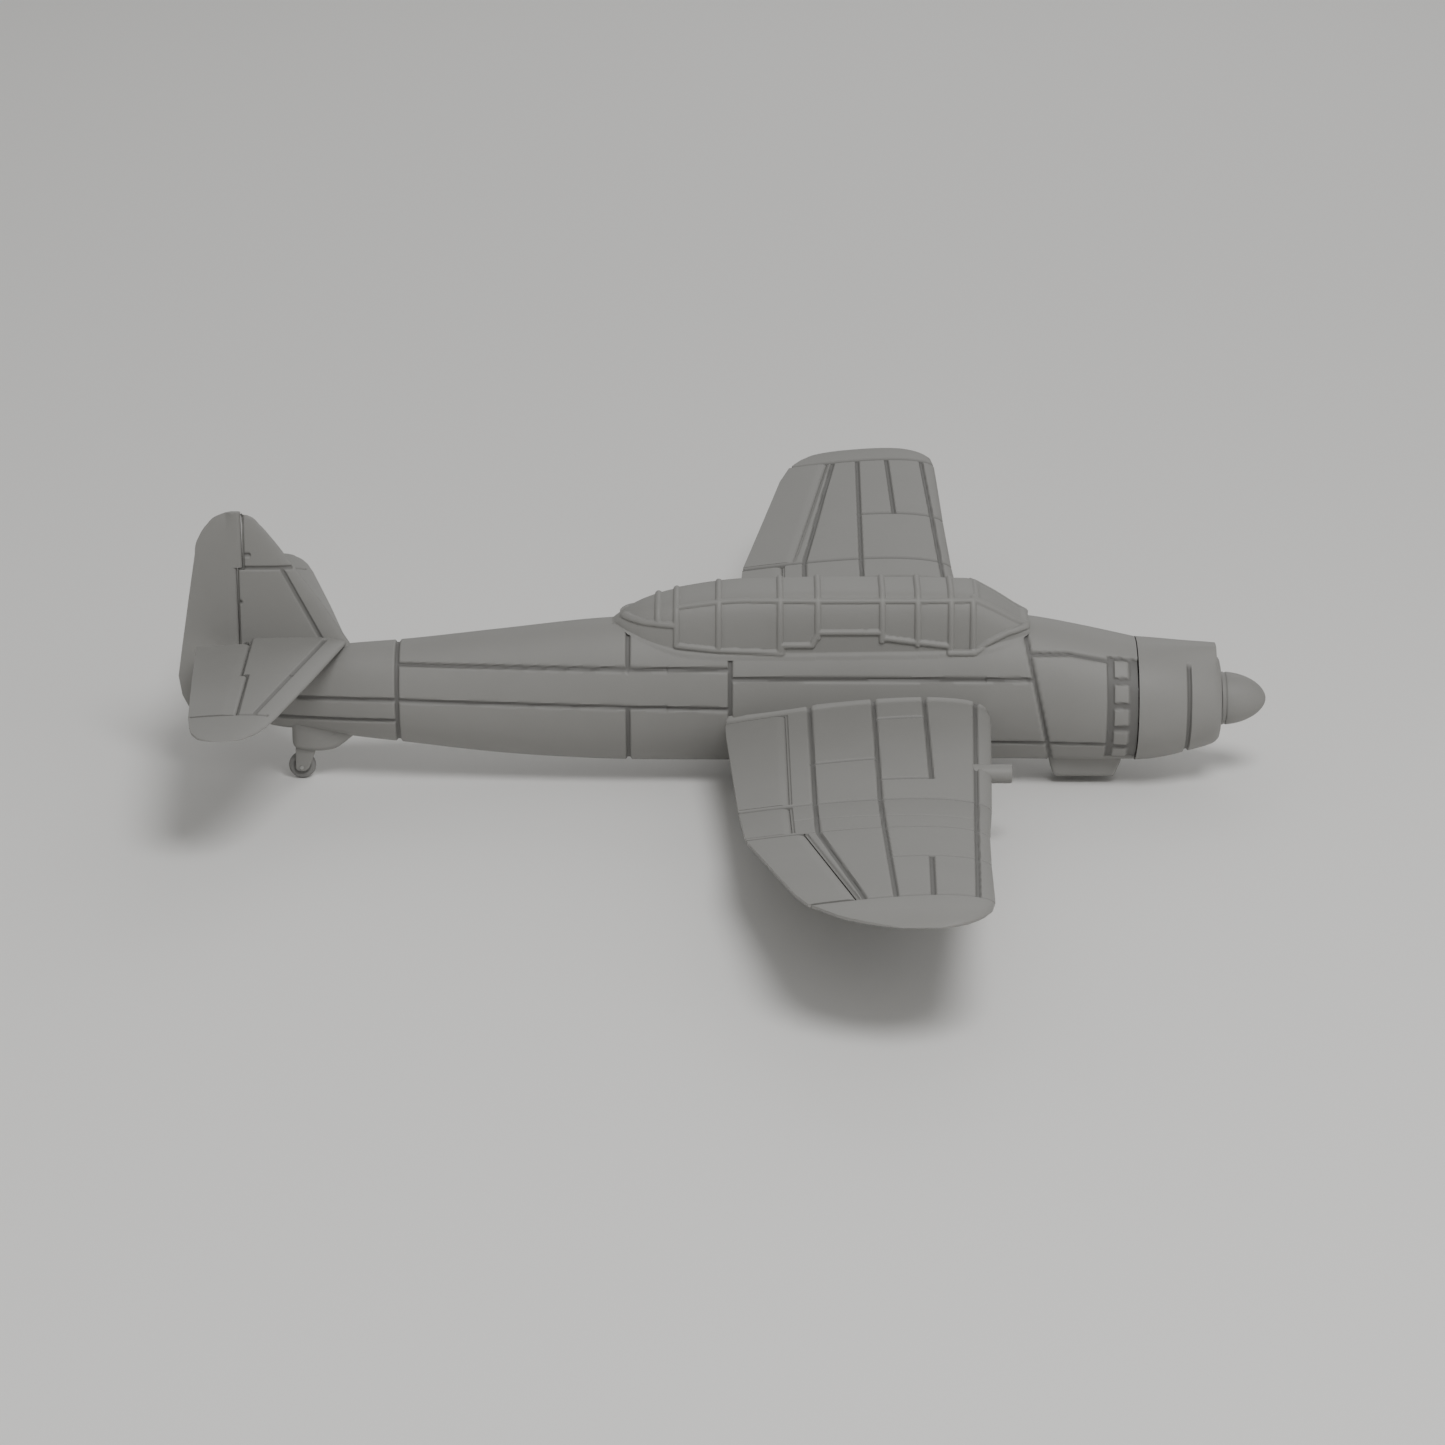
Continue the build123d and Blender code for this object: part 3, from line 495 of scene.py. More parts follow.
# push the lower skin up inside the servo bays and the gear leg holes
def openUnderside(points, stations, fixed):
    lower = points[:, -fixed:]
    x, out, z = lower[:, :, 0], -lower[:, :, 1], lower[:, :, 2]
    middle = wingMid(stations, x)
    roof = np.minimum(middle + bay["roof"], 2 * middle - z - bay["skin"])
    for x0, x1, a0, a1 in bays:
        inside = (x > x0) & (x < x1) & (out > a0) & (out < a1)
        z = np.where(inside, roof, z)
    inside = np.hypot(x - legHole["x"], out - legHole["out"]) < legHole["radius"]
    lower[:, :, 2] = np.where(inside, z + legHole["deep"], z)


def wingPanel(name, low, high, parts, marks):
    gaps = [gapOf(p) for p in parts]
    stations = spaced(low, high, wing["step"], marks)
    stations = np.unique(np.concatenate([stations, [g for gap in gaps for g in gap]]))
    stations, hollow = stepRows(stations, gaps)
    ends = [e for p in parts for e in (p["from"], p["to"])]
    hinges = np.interp(stations, ends, [e for p in parts for e in p["x"]])
    nose = np.interp(stations, ends, [e for p in parts for e in p["radius"]]) + wing["noseClearance"]
    le, te, _, _ = wingFoil.at(stations).T
    lips = hinges + wing["lip"]
    last = parts[-1]["to"]
    edgeShare = np.interp(last, stations, (le - lips) / (le - te))
    lips = np.where(stations > last + 0.6, le - edgeShare * (le - te), lips)
    rows, fixed = fixedGrid(wingFoil, stations, lips, nose, hinges, wing["step"], ~hollow)
    points = np.stack([rows[:, :, 0], -stations[:, None] + 0 * rows[:, :, 0], rows[:, :, 1]], 2)
    hang = np.clip((stations - wing["droopFrom"]) / (wing["tip"] - wing["droopFrom"]), 0, 1)
    points[:, :, 2] -= wing["tipDroop"] * hang[:, None] ** 1.5
    x, out = points[:, :, 0], -points[:, :, 1]
    relief = wingRelief(x, out)
    side = np.zeros(rows.shape[1], bool)
    side[:fixed] = True
    side[-fixed:] = True
    outside = side[None, :] | (~hollow)[:, None]
    relief = np.where(outside, relief, 0)
    rounding = np.where(side[None, :] & hollow[:, None], channel(x - lips[:, None] + 0.2, half=1.25), 0)
    half = bodyHalf(x, points[:, :, 2])
    off = np.clip(out - half, 0, None)
    radius = wing["filletRadius"]
    flare = np.where(off < radius, radius - np.sqrt(np.clip(radius**2 - (radius - off) ** 2, 0, None)), 0)
    flare = np.where(outside & (out < 30), flare, 0)
    normals = gridNormals(points, stations)
    lift = np.sign(points[:, :, 2] - wingMid(stations, x))[:, :, None]
    turn = np.sign(np.sum(normals * np.array([0, 0, 1]), axis=2, keepdims=True) * lift)
    turn = np.where(turn == 0, 1, turn)
    outward = np.median(turn[:, 5:fixed - 5])
    points = points + normals * outward * (relief + rounding + flare)[:, :, None]
    openUnderside(points, stations, fixed)
    bothSides(name, "airframe", name + "_{side}", points, relief)


def wingMid(stations, x):
    le, te, zl, zt = wingFoil.at(stations).T
    share = (le[:, None] - x) / (le - te)[:, None]
    return zl[:, None] + (zt - zl)[:, None] * share


def gapOf(part):
    return (part["from"] - wing["endGap"], part["to"] + wing["endGap"])


wingPanel("wing_inner", wing["start"], wing["crank"], [innerFlap], (34.5, 69.5, 87.5, 105))
wingPanel("wing_outer", wing["crank"], wing["tip"] - 0.05, [outerFlap, aileron], (105, 147, 188, 239.6))
print("wing panels done")


def movingPanel(part, foil, place, jog=None, step=0.7):
    stations = spaced(part["from"], part["to"], step)
    jogs = np.zeros(len(stations))
    if jog is not None:
        stations = np.sort(np.append(stations, [jog[0], jog[0]]))
        late = np.arange(len(stations)) > np.searchsorted(stations, jog[0])
        jogs = np.where(late, jog[1], 0.0)
    hinges, radii = hingeAt(part, stations, "x"), hingeAt(part, stations, "radius")
    rows = movingGrid(foil, stations, hinges, radii, jogs, step)
    points = place(rows, stations)
    return points, np.zeros(rows.shape[:2])


def placeWing(rows, stations):
    return np.stack([rows[:, :, 0], -stations[:, None] + 0 * rows[:, :, 0], rows[:, :, 1]], 2)


for label, part in (("inner_flap", innerFlap), ("outer_flap", outerFlap), ("aileron", aileron)):
    points, marks = movingPanel(part, wingFoil, placeWing)
    bothSides(label, label + "_{side}", label + "_{side}", points, marks)
print("wing surfaces done")


# fuselage halves: an egg-shaped shell with a hatch opening on top
body = {
    "wall": 1.6, "rear": -176.5, "front": 151.3, "step": 0.72, "around": 118,
    "hatchRear": -20.0, "hatchFront": 96.0, "hatchHalf": 10.5, "solidFrom": -152.0, "thrust": 31.1,
    "inside": 34, "exitDepth": 1.3,
    "rodExits": ((-158, -128, 43.6, 46.8), (-168, -148, 30.2, 33.6)),  # elevator rod, then rudder rod
}
bodyLines = [
    [(-119, 70), (-119, 0)], [(-34.5, 64), (-34.5, 47.6)], [(-34.5, 32.6), (-34.5, 0)],
    [(2.8, 57), (2.8, 30)],
    [(-119, 48), (2.8, 48)], [(-119, 35.3), (2.8, 33.2)], [(2.8, 44.6), (113.5, 44.8)],
    [(-155.5, 34.6), (-119, 35.4)], [(-163, 26.0), (-119, 27.0)], [(109.8, 62.5), (121.8, 5)],
    [(112.6, 53.4), (126, 53.2), (142.2, 50.2)], [(98, 19.4), (142.2, 19.4)],
]
coolingBox = {
    "rear": 141.0, "front": 151.6, "sweep": 58.0, "pitch": 23.2, "pad": 8.4,
    "padRear": 142.6, "padFront": 148.0, "depth": 0.95,
}


def bodySection(x):
    row = curveTable(bodyRows, x)
    return row[:, 0], row[:, 1] * bodyHalfWidth, row[:, 2] * bodyHalfHeight


def softBox(value, low, high, soft=0.35):
    rise = np.clip((value - low) / soft + 0.5, 0, 1)
    fall = np.clip((high - value) / soft + 0.5, 0, 1)
    t = np.minimum(rise, fall)
    return t * t * (3 - 2 * t)


# recessed grid of small outlet flaps; angle is in degrees from level, up positive
def coolingRelief(x, angle):
    box = softBox(x, coolingBox["rear"] - 1.0, coolingBox["front"] + 1.5)
    box = box * softBox(angle, -coolingBox["sweep"], coolingBox["sweep"], 1.4)
    pads = np.zeros(x.shape)
    for k in range(-2, 3):
        middle = k * coolingBox["pitch"]
        tall = softBox(angle, middle - coolingBox["pad"], middle + coolingBox["pad"], 1.4)
        pads = np.maximum(pads, tall * softBox(x, coolingBox["padRear"], coolingBox["padFront"], 0.6))
    return -coolingBox["depth"] * box * (1 - 0.9 * pads)


# flat is how squarely the skin faces sideways, from 0 on top to 1 on the flank
def bodyRelief(x, z, flat, angle, left):
    h = np.zeros(x.shape)
    for path in bodyLines:
        upright = abs(path[0][0] - path[-1][0]) < 15
        stretch = 1.0 if upright else 1 / np.clip(flat, 0.35, 1)
        h = np.minimum(h, channel(distanceTo(path, x, z) * stretch))
    h = np.minimum(h, coolingRelief(x, angle))
    if left:
        for rear, front, low, high in body["rodExits"]:
            h = np.minimum(h, -body["exitDepth"] * softBox(x, rear, front) * softBox(z, low, high))
    return h


def bodyRing(stations, turn, zc, half, tall):
    y, z = -half[:, None] * np.sin(turn), zc[:, None] + tall[:, None] * np.cos(turn)
    return np.stack([stations[:, None] + 0 * turn, y, z], 2)


def bodyHalfShell(name, left):
    marks = [-119, -34.5, 2.8, 143, 150.6]
    stations = spaced(body["rear"], body["front"], body["step"], marks, fine=0.36)
    hatch = (body["hatchRear"], body["hatchFront"])
    stations = np.unique(np.concatenate([stations, hatch]))
    stations, opened = stepRows(stations, [hatch])
    zc, w, b = bodySection(stations)
    inner = np.maximum(body["wall"], (body["solidFrom"] - stations) * 0.9)
    wi, bi = np.maximum(w - inner, 0.4), np.maximum(b - inner, 0.8)
    open0 = np.where(opened, np.arcsin(body["hatchHalf"] / np.maximum(w, 11)), 0.0)
    open1 = np.where(opened, np.arcsin(body["hatchHalf"] / np.maximum(wi, 11)), 0.0)
    n = body["around"]
    q = np.linspace(0, 1, n)[None, :]
    t = open0[:, None] + (math.pi - open0[:, None]) * q
    outer = bodyRing(stations, t, zc, w, b)
    normals = gridNormals(outer, stations)
    centred = outer - np.stack([stations, 0 * zc, zc], 1)[:, None, :]
    outward = np.sign(np.median(np.sum(normals * centred, axis=2)))
    normals = normals * outward
    angle = np.degrees(np.arctan2(outer[:, :, 2] - body["thrust"], np.abs(outer[:, :, 1]) + 1e-6))
    relief = bodyRelief(outer[:, :, 0], outer[:, :, 2], np.abs(normals[:, :, 1]), angle, left)
    edge = np.clip((t - open0[:, None]) * w[:, None] / 0.6, 0, 1)
    relief = relief - np.where(opened[:, None], 0.25 * (1 - edge) ** 2, 0)
    normals[:, [0, -1], 1] *= opened[:, None] * np.array([[1, 0]])
    outer = outer + normals * relief[:, :, None]
    q = np.linspace(1, 0, body["inside"])[None, :]
    t = open1[:, None] + (math.pi - open1[:, None]) * q
    within = bodyRing(stations, t, zc, wi, bi)
    points = np.concatenate([outer, within, outer[:, :1]], axis=1)
    marksOut = np.concatenate([relief, np.zeros((len(stations), body["inside"] + 1))], axis=1)
    piece = loftGrid(name, points, marksOut, mirrored=left)
    settle(piece, "airframe", "grey_plastic", "fuselage_left" if left else "fuselage_right")


bodyHalfShell("fuselage_right_skin", False)
bodyHalfShell("fuselage_left_skin", True)
print("fuselage done")

# cowl: round nose with a ridge on top that ends in a small intake
cowl = {
    "rear": 151.7, "front": 182.6, "wall": 1.3, "step": 0.5, "around": 260, "groove": 170.2,
    "ridgeRear": 54.0, "ridgeFront": 52.1, "intakeFace": 180.8, "lip": 180.6, "mouth": 13.0,
}
cowlRows = [
    (151.6, 22.6), (156.0, 22.35), (160.6, 21.75), (165.5, 20.8), (170.0, 19.6), (175.0, 18.3),
    (178.5, 17.3), (180.6, 16.4), (181.8, 15.4), (182.5, 14.2), (182.6, 13.7),
]


def cowlPiece():
    x = spaced(cowl["rear"], cowl["lip"], cowl["step"], (cowl["groove"],), fine=0.3)
    x = np.concatenate([x, np.linspace(cowl["lip"], cowl["front"], 9)[1:]])
    theta = np.linspace(0, 2 * math.pi, cowl["around"] + 1)
    radius = curveTable(cowlRows, x)[:, 0]
    topLine = np.interp(x, (151.6, 181.0), (cowl["ridgeRear"], cowl["ridgeFront"]))
    ridge = np.maximum(topLine - body["thrust"] - radius, 0)
    top = np.clip(np.cos(theta), 0, 1)[None, :]
    sharp = np.interp(x, (151.6, 166.0, 181.0), (3.0, 9.0, 13.0))[:, None]
    face = np.clip((cowl["intakeFace"] + 0.5 - x) / 0.5, 0, 1)[:, None]
    face = face * face * (3 - 2 * face)
    full = radius[:, None] + ridge[:, None] * np.minimum(1.12 * top**sharp, 1.0) * face
    below = np.clip((math.cos(math.radians(30)) - np.cos(theta)) / 0.06, 0, 1)[None, :]
    outer = full + channel(np.abs(x - cowl["groove"]))[:, None] * below
    wall = cowl["wall"] * np.interp(x[::-1], (170, cowl["front"]), (1, 0.5))[:, None]
    inner = np.maximum(radius[::-1, None] - wall, cowl["mouth"]) * np.ones_like(theta)[None, :]
    radii = np.concatenate([outer, inner[1:], outer[:1]])
    along = np.concatenate([x, x[::-1][1:], x[:1]])
    y = radii * np.sin(theta)[None, :]
    z = body["thrust"] + radii * np.cos(theta)[None, :]
    points = np.stack([along[:, None] + 0 * y, y, z], 2)
    marks = np.zeros(radii.shape)
    marks[:len(x)] = channel(np.abs(x - cowl["groove"]))[:, None] * below
    piece = loftGrid("cowl_skin", points, marks)
    settle(piece, "airframe", "grey_plastic", "cowl")


cowlPiece()
print("cowl done")

# canopy hatch: arched greenhouse with raised frames
canopy = {
    "wall": 1.3, "step": 0.55, "across": 210, "inside": 61, "beadHalf": 1.15, "beadHeight": 0.95,
    "skirt": 2.6, "skirtGap": 0.32, "railZ": 72.8, "railDrop": 2.2, "railRear": -17, "railFront": 91.2,
    "screenRear": 91.8, "screenFront": 111.0, "screenHalf": 0.74, "barHalf": 1.1, "barHeight": 0.7,
    "topBar": 92.4, "baseBar": 110.6,
}
canopyRows = [
    (-40.5, 2.0, 61.9, 2.2), (-37.0, 6.0, 64.4, 2.4), (-31.0, 9.8, 67.8, 2.8), (-24.0, 12.2, 70.2, 3.3),
    (-17.0, 13.5, 71.8, 3.8),
    (-9.0, 14.1, 73.2, 4.0), (0.0, 14.5, 74.4, 4.2), (21.0, 14.8, 75.5, 4.4), (60.0, 14.8, 75.8, 4.4),
    (82.0, 14.8, 75.4, 4.4),
    (92.0, 14.5, 74.4, 4.2), (96.0, 14.0, 72.4, 4.0), (102.0, 12.8, 69.0, 3.6),
    (107.0, 11.6, 65.9, 3.0), (112.0, 9.6, 62.9, 2.6),
]
frameHoops = [
    (-23.5, 64.6), (-16.8, 56.0), (-1.4, 54.6), (20.9, 54.0), (34.6, 59.2), (58.0, 58.0), (70.9, 56.6),
    (83.0, 54.6),
]
sillPath = [
    (-38.0, 65.0), (-35.0, 64.6), (-29.0, 64.0), (-16.8, 63.7), (-16.8, 56.2), (-1.0, 54.6),
    (21.6, 53.8), (21.6, 56.6),
    (32.6, 56.6), (34.9, 61.6), (58.0, 61.6), (58.4, 59.4), (82.6, 56.4), (82.6, 54.0), (91.6, 54.0),
    (97.0, 57.6), (103.5, 60.6), (111.0, 62.2),
]
screenPost = [(91.0, 54.0), (91.0, 73.0)]


def frameBead(distance):
    return bead(distance, canopy["beadHalf"], canopy["beadHeight"])


def canopyPiece():
    x = spaced(-40.4, 111.9, canopy["step"], [h[0] for h in frameHoops] + [91.0], fine=0.34, reach=1.6)
    row = curveTable(canopyRows, x)
    w, top, power = row[:, 0:1], row[:, 1:2], row[:, 2:3]
    zc, bw, bh = bodySection(x)
    base = np.full(len(x), 48.0)
    for _ in range(80):
        flank = bw * np.sqrt(np.clip(1 - ((base - zc) / bh) ** 2, 0, 1))
        base = np.where(flank > 0.985 * w[:, 0], base + 0.25, base)
    ends = np.clip(np.minimum(x + 40.4, 111.9 - x) / 9, 0, 1)
    deep = np.interp(x, (-30.0, -14.0), (0.5, 1.0))
    base = np.minimum(base - canopy["skirt"] * ends * deep, top[:, 0] - 1.0)

    def outside(y, z, gap):
        flank = bw[:, None] * np.sqrt(np.clip(1 - ((z - zc[:, None]) / bh[:, None]) ** 2, 0, 1))
        return np.sign(y) * np.maximum(np.abs(y), np.where(flank > 0.5, flank + gap, 0))

    e = 2 / power

    # even steps along each arch from the right edge to the left one
    def arch(halfWidth, crest, count, gap):
        half = 0.5 * np.linspace(0, 1, 500) ** 2.2
        phi = math.pi * np.concatenate([half, 1 - half[-2::-1]])[None, :]
        y = -halfWidth * np.sign(np.cos(phi)) * np.abs(np.cos(phi)) ** e
        z = base[:, None] + (crest - base[:, None]) * np.clip(np.sin(phi), 0, 1) ** e
        y = outside(y, z, gap * np.clip((z - base[:, None]) / 1.4, 0.12, 1))
        hop = np.hypot(np.diff(y, axis=1), np.diff(z, axis=1))
        run = np.concatenate([0 * y[:, :1], np.cumsum(hop, axis=1)], axis=1)
        even = np.linspace(0, 1, count)
        y = np.array([np.interp(even * r[-1], r, v) for r, v in zip(run, y)])
        z = np.array([np.interp(even * r[-1], r, v) for r, v in zip(run, z)])
        return y, z

    y, z = arch(w, top, canopy["across"] + 1, canopy["skirtGap"])
    outer = np.stack([x[:, None] + 0 * y, y, z], 2)
    normals = gridNormals(outer)
    outward = np.sign(np.median(normals[:, canopy["across"] // 2, 2]))
    normals = normals * outward
    h = np.zeros(y.shape)
    xs = x[:, None] + 0 * y
    for hoop, floorZ in frameHoops:
        h = np.maximum(h, np.where(z > floorZ, frameBead(np.abs(xs - hoop)), 0))
    along = np.abs(y)
    nearCorner = np.abs(z - np.minimum(canopy["railZ"], top - canopy["railDrop"]))
    d = np.where(along > 0.55 * w, nearCorner / np.clip(np.abs(normals[:, :, 1]), 0.35, 1), 9.0)
    inRun = (xs > canopy["railRear"]) & (xs < canopy["railFront"])
    h = np.maximum(h, np.where(inRun, bead(d, 1.0, canopy["beadHeight"]), 0))
    d = distanceTo(sillPath, xs, z)
    h = np.maximum(h, np.where(along > 0.4 * w, frameBead(d), 0))
    d = distanceTo(screenPost, xs, z)
    h = np.maximum(h, np.where(along > 0.5 * w, frameBead(d), 0))
    edgeY = canopy["screenHalf"] * w
    onScreen = (xs > canopy["screenRear"]) & (xs < canopy["screenFront"])
    edgeBar = bead(np.abs(along - edgeY), canopy["barHalf"], canopy["beadHeight"])
    h = np.maximum(h, np.where(onScreen, edgeBar, 0))
    for bar in (canopy["topBar"], canopy["baseBar"]):
        across = bead(np.abs(xs - bar), canopy["barHalf"], canopy["barHeight"])
        h = np.maximum(h, np.where(along < edgeY + 0.6, across, 0))
    outer = outer + normals * h[:, :, None]
    crest = np.maximum(top - canopy["wall"], base[:, None] + 0.3)
    yi, zi = arch(np.maximum(w - canopy["wall"], 0.6), crest, canopy["inside"], 0.02)
    yi, zi = yi[:, ::-1], zi[:, ::-1]
    inner = np.stack([x[:, None] + 0 * yi, yi, zi], 2)
    points = np.concatenate([outer, inner, outer[:, :1]], axis=1)
    marks = np.concatenate([h, np.zeros((len(x), canopy["inside"] + 1))], axis=1)
    piece = loftGrid("canopy_skin", points, marks)
    settle(piece, "canopy", "grey_plastic", "canopy_hatch")


canopyPiece()
print("canopy done")

# tailplane, elevators, fin and rudder
tail = {
    "level": 52.9, "ratio": 0.10, "edge": 0.9, "elevatorX": -174.2, "rudderX": -178.6, "jog": 2.2,
    "step": 0.5, "clearance": 0.35, "lip": 1.8, "gap": 0.5, "noseShare": 0.9,
}
tailEdges = [
    (0.0, -137.6, -192.6), (42.0, -147.0, -190.2), (82.0, -156.6, -187.4), (92.0, -159.6, -186.0),
    (100.0, -164.0, -183.6), (104.4, -168.6, -180.0), (106.0, -173.4, -176.2),
]  # distance out, leading edge, trailing edge
finEdges = [
    (24.0, -152.0, -190.5), (28.2, -150.0, -196.7), (32.6, -146.0, -198.8), (40.0, -140.0, -199.9),
    (51.0, -135.6, -198.2), (70.0, -147.6, -195.1), (91.9, -163.2, -191.4), (98.0, -168.2, -187.6),
    (101.4, -172.0, -183.8), (102.8, -176.0, -180.4),
]  # height, leading edge, trailing edge
tailRows = [edge + (tail["level"], tail["level"]) for edge in tailEdges]
finRows = [edge + (0, 0) for edge in finEdges]
tailFoil = Foil(tailRows, tail["ratio"], tail["edge"], 96.0, 106.0)
finFoil = Foil(finRows, tail["ratio"], tail["edge"], 95.0, 102.8)


def surfaceRadius(foil, station, x):
    return tail["noseShare"] * float(foil.skin(np.array([station]), np.array([[x]]), 1)[1][0, 0])


elevator = {"from": 8.0, "to": 82.0, "x": (tail["elevatorX"],) * 2, "jogFrom": 42.0}
elevatorEnds = (elevator["from"], elevator["to"])
elevator["radius"] = [surfaceRadius(tailFoil, s, tail["elevatorX"]) for s in elevatorEnds]
rudder = {"from": 24.0, "to": 102.75, "x": (tail["rudderX"],) * 2, "jogFrom": 82.0}
rudder["radius"] = [surfaceRadius(finFoil, s, tail["rudderX"]) for s in (40.0, 91.9)]
tailLines = [[(-171.6, 82.0), (-160, 82.0)], [(-145.4, 4), (-164.2, 82)], [(-186, 82.4), (-160, 82.4)]]
finLines = [
    [(-177, 82.0), (-157.4, 82.0)], [(-160.6, 81.4), (-146.4, 54.0)], [(-176, 87.0), (-172.5, 87.0)],
    [(-181, 69.0), (-176, 69.0)],
]


def fixedSurface(foil, part, low, high, gaps, lines, place, marks):
    stations = spaced(low, high, tail["step"], marks)
    cut = part["jogFrom"] - tail["gap"]
    stations = np.unique(np.concatenate([stations, [g for gap in gaps for g in gap], [cut]]))
    stations = stations[(stations >= low) & (stations <= high)]
    stations, hollow = stepRows(stations, gaps)
    at = int(np.searchsorted(stations, cut, side="right"))
    stations, hollow = np.insert(stations, at, cut), np.insert(hollow, at, True)
    late = np.arange(len(stations)) >= at
    radius = np.interp(stations, (part["from"], part["to"]), part["radius"])
    radius = np.where(late, part["radius"][1] + tail["jog"], radius) + tail["clearance"]
    hinges = np.full(len(stations), part["x"][0])
    lips = hinges + tail["lip"] + np.where(late, tail["jog"], 0)
    le, te, _, _ = foil.at(stations).T
    lips = np.where(~hollow & late, np.maximum(lips, te + 0.35 * (le - te)), lips)
    lips = np.minimum(lips, le - 0.3)
    rows, fixed = fixedGrid(foil, stations, lips, radius, hinges, tail["step"], ~hollow)
    points = place(rows, stations)
    u = rows[:, :, 0]
    v = stations[:, None] + 0 * u
    relief = np.zeros(u.shape)
    for path in lines:
        relief = np.minimum(relief, channel(distanceTo(path, u, v), half=1.05, flat=0.38, depth=0.7))
    side = np.zeros(rows.shape[1], bool)
    side[:fixed] = True
    side[-fixed:] = True
    relief = np.where(side[None, :] | (~hollow)[:, None], relief, 0)
    bevel = channel(u - lips[:, None] + 0.2, half=1.1, flat=0.38, depth=0.55)
    relief = np.minimum(relief, np.where(side[None, :] & hollow[:, None], bevel, 0))
    normals = gridNormals(points, stations)
    level = 0 * u + rows[:, :, 1].mean(axis=1, keepdims=True)
    middle = place(np.stack([u, level], 2), stations)
    outward = np.sign(np.median(np.sum(normals * (points - middle), axis=2)))
    return points + normals * outward * relief[:, :, None], relief


def placeFin(rows, stations):
    return np.stack([rows[:, :, 0], rows[:, :, 1], stations[:, None] + 0 * rows[:, :, 0]], 2)


hollow = [(0.0, elevator["to"] + tail["gap"])]
points, marks = fixedSurface(tailFoil, elevator, 0.0, 105.95, hollow, tailLines, placeWing, (42, 82.4))
pair = [
    loftGrid("tailplane_half_right", points, marks),
    loftGrid("tailplane_half_left", points, marks, mirrored=True),
]
for piece in pair:
    settle(piece, "airframe", "grey_plastic", "tailplane")
points, marks = movingPanel(elevator, tailFoil, placeWing, jog=(elevator["jogFrom"], tail["jog"]), step=0.6)
bothSides("elevator", "elevator", "elevator_{side}", points, marks)
points, marks = fixedSurface(finFoil, rudder, 45.0, 102.2, [(40.0, 103.5)], finLines, placeFin, (82.0,))
piece = loftGrid("fin_skin", points, marks)
settle(piece, "airframe", "grey_plastic", "fin")
points, marks = movingPanel(rudder, finFoil, placeFin, jog=(rudder["jogFrom"], tail["jog"]), step=0.6)
piece = loftGrid("rudder_skin", points, marks)
settle(piece, "rudder", "grey_plastic", "rudder")
print("tail surfaces done")

# spinner: blunt nose with a shallow seam where it meets the backplate
spinner = {"tip": 200.0, "base": 183.2, "radius": 9.8, "power": 0.55, "seam": 184.6, "hub": 2.6}


def revolved(name, along, radii, count=128, marks=None):
    theta = np.linspace(0, 2 * math.pi, count + 1)[None, :]
    y = radii[:, None] * np.sin(theta)
    z = body["thrust"] + radii[:, None] * np.cos(theta)
    points = np.stack([along[:, None] + 0 * y, y, z], 2)
    return loftGrid(name, points, None if marks is None else np.repeat(marks[:, None], count + 1, axis=1))


share = np.sin(np.linspace(0, math.pi / 2, 70))
along = spinner["base"] + (spinner["tip"] - spinner["base"]) * share
radii = spinner["radius"] * np.clip(1 - share**2, 0, 1) ** spinner["power"]
marks = channel(np.abs(along - spinner["seam"]), half=0.5, flat=0.12, depth=0.3)
along = np.concatenate([[spinner["base"] + 1.2, spinner["base"], spinner["base"]], along])
back = [spinner["hub"], spinner["hub"], spinner["radius"] - 0.3]
radii = np.concatenate([back, np.maximum(radii + marks, 0.02)])
marks = np.concatenate([[0, 0, 0], marks])
piece = revolved("spinner_skin", along, radii, marks=marks)
settle(piece, "propeller_drive", "grey_plastic", "spinner")

# belly scoop: rounded trough with an open mouth
scoop = {
    "rear": 119.5, "front": 147.0, "bottom": 2.9, "half": 8.5, "top": 13.0, "wall": 1.3, "round": 2.4,
    "rake": 2.9, "step": 0.5,
}


# open U from the upper right edge down, across and up the left side
def roundedTrough(half, low, high, corner, count=26):
    turn = np.linspace(0, math.pi / 2, count)
    right = np.stack([-half + corner - corner * np.cos(turn), low + corner - corner * np.sin(turn)], 1)
    flat = np.stack([np.linspace(-half + corner, half - corner, 16)[1:-1], np.full(14, low)], 1)
    left = np.stack([-right[::-1, 0], right[::-1, 1]], 1)
    return np.concatenate([[[-half, high]], right, flat, left, [[half, high]]])


def scoopPiece():
    x = np.arange(scoop["rear"], scoop["front"] + 0.01, scoop["step"])
    x = np.append(x, scoop["front"])
    rows = []
    for at in x:
        rear = np.clip((at - scoop["rear"]) / 3.4, 0, 1)
        front = np.clip((scoop["front"] - at) / scoop["rake"], 0, 1)
        swell = math.sin(rear * math.pi / 2)
        share = min(swell**0.9, 0.25 + 0.75 * front**0.8)
        low = min(scoop["top"] - (scoop["top"] - scoop["bottom"]) * share, scoop["top"] - 1.0)
        half = scoop["half"] * (0.86 + 0.14 * swell)
        corner = min(scoop["round"], scoop["top"] - low - 0.2)
        outer = roundedTrough(half, low, scoop["top"], corner)
        wall = scoop["wall"] if at > scoop["rear"] + 5 else scoop["top"] - low - 0.3
        wall = min(wall, scoop["top"] - low - 0.3)
        inner = roundedTrough(half - min(wall, 2.2), low + wall, scoop["top"], max(corner - wall, 0.3))
        rows.append(np.concatenate([outer, inner[::-1], outer[:1]]))
    rows = np.array(rows)
    points = np.stack([x[:, None] + 0 * rows[:, :, 0], rows[:, :, 0], rows[:, :, 1]], 2)
    piece = loftGrid("belly_scoop_skin", points)
    settle(piece, "airframe", "grey_plastic", "belly_scoop")


scoopPiece()
print("spinner and scoop done")

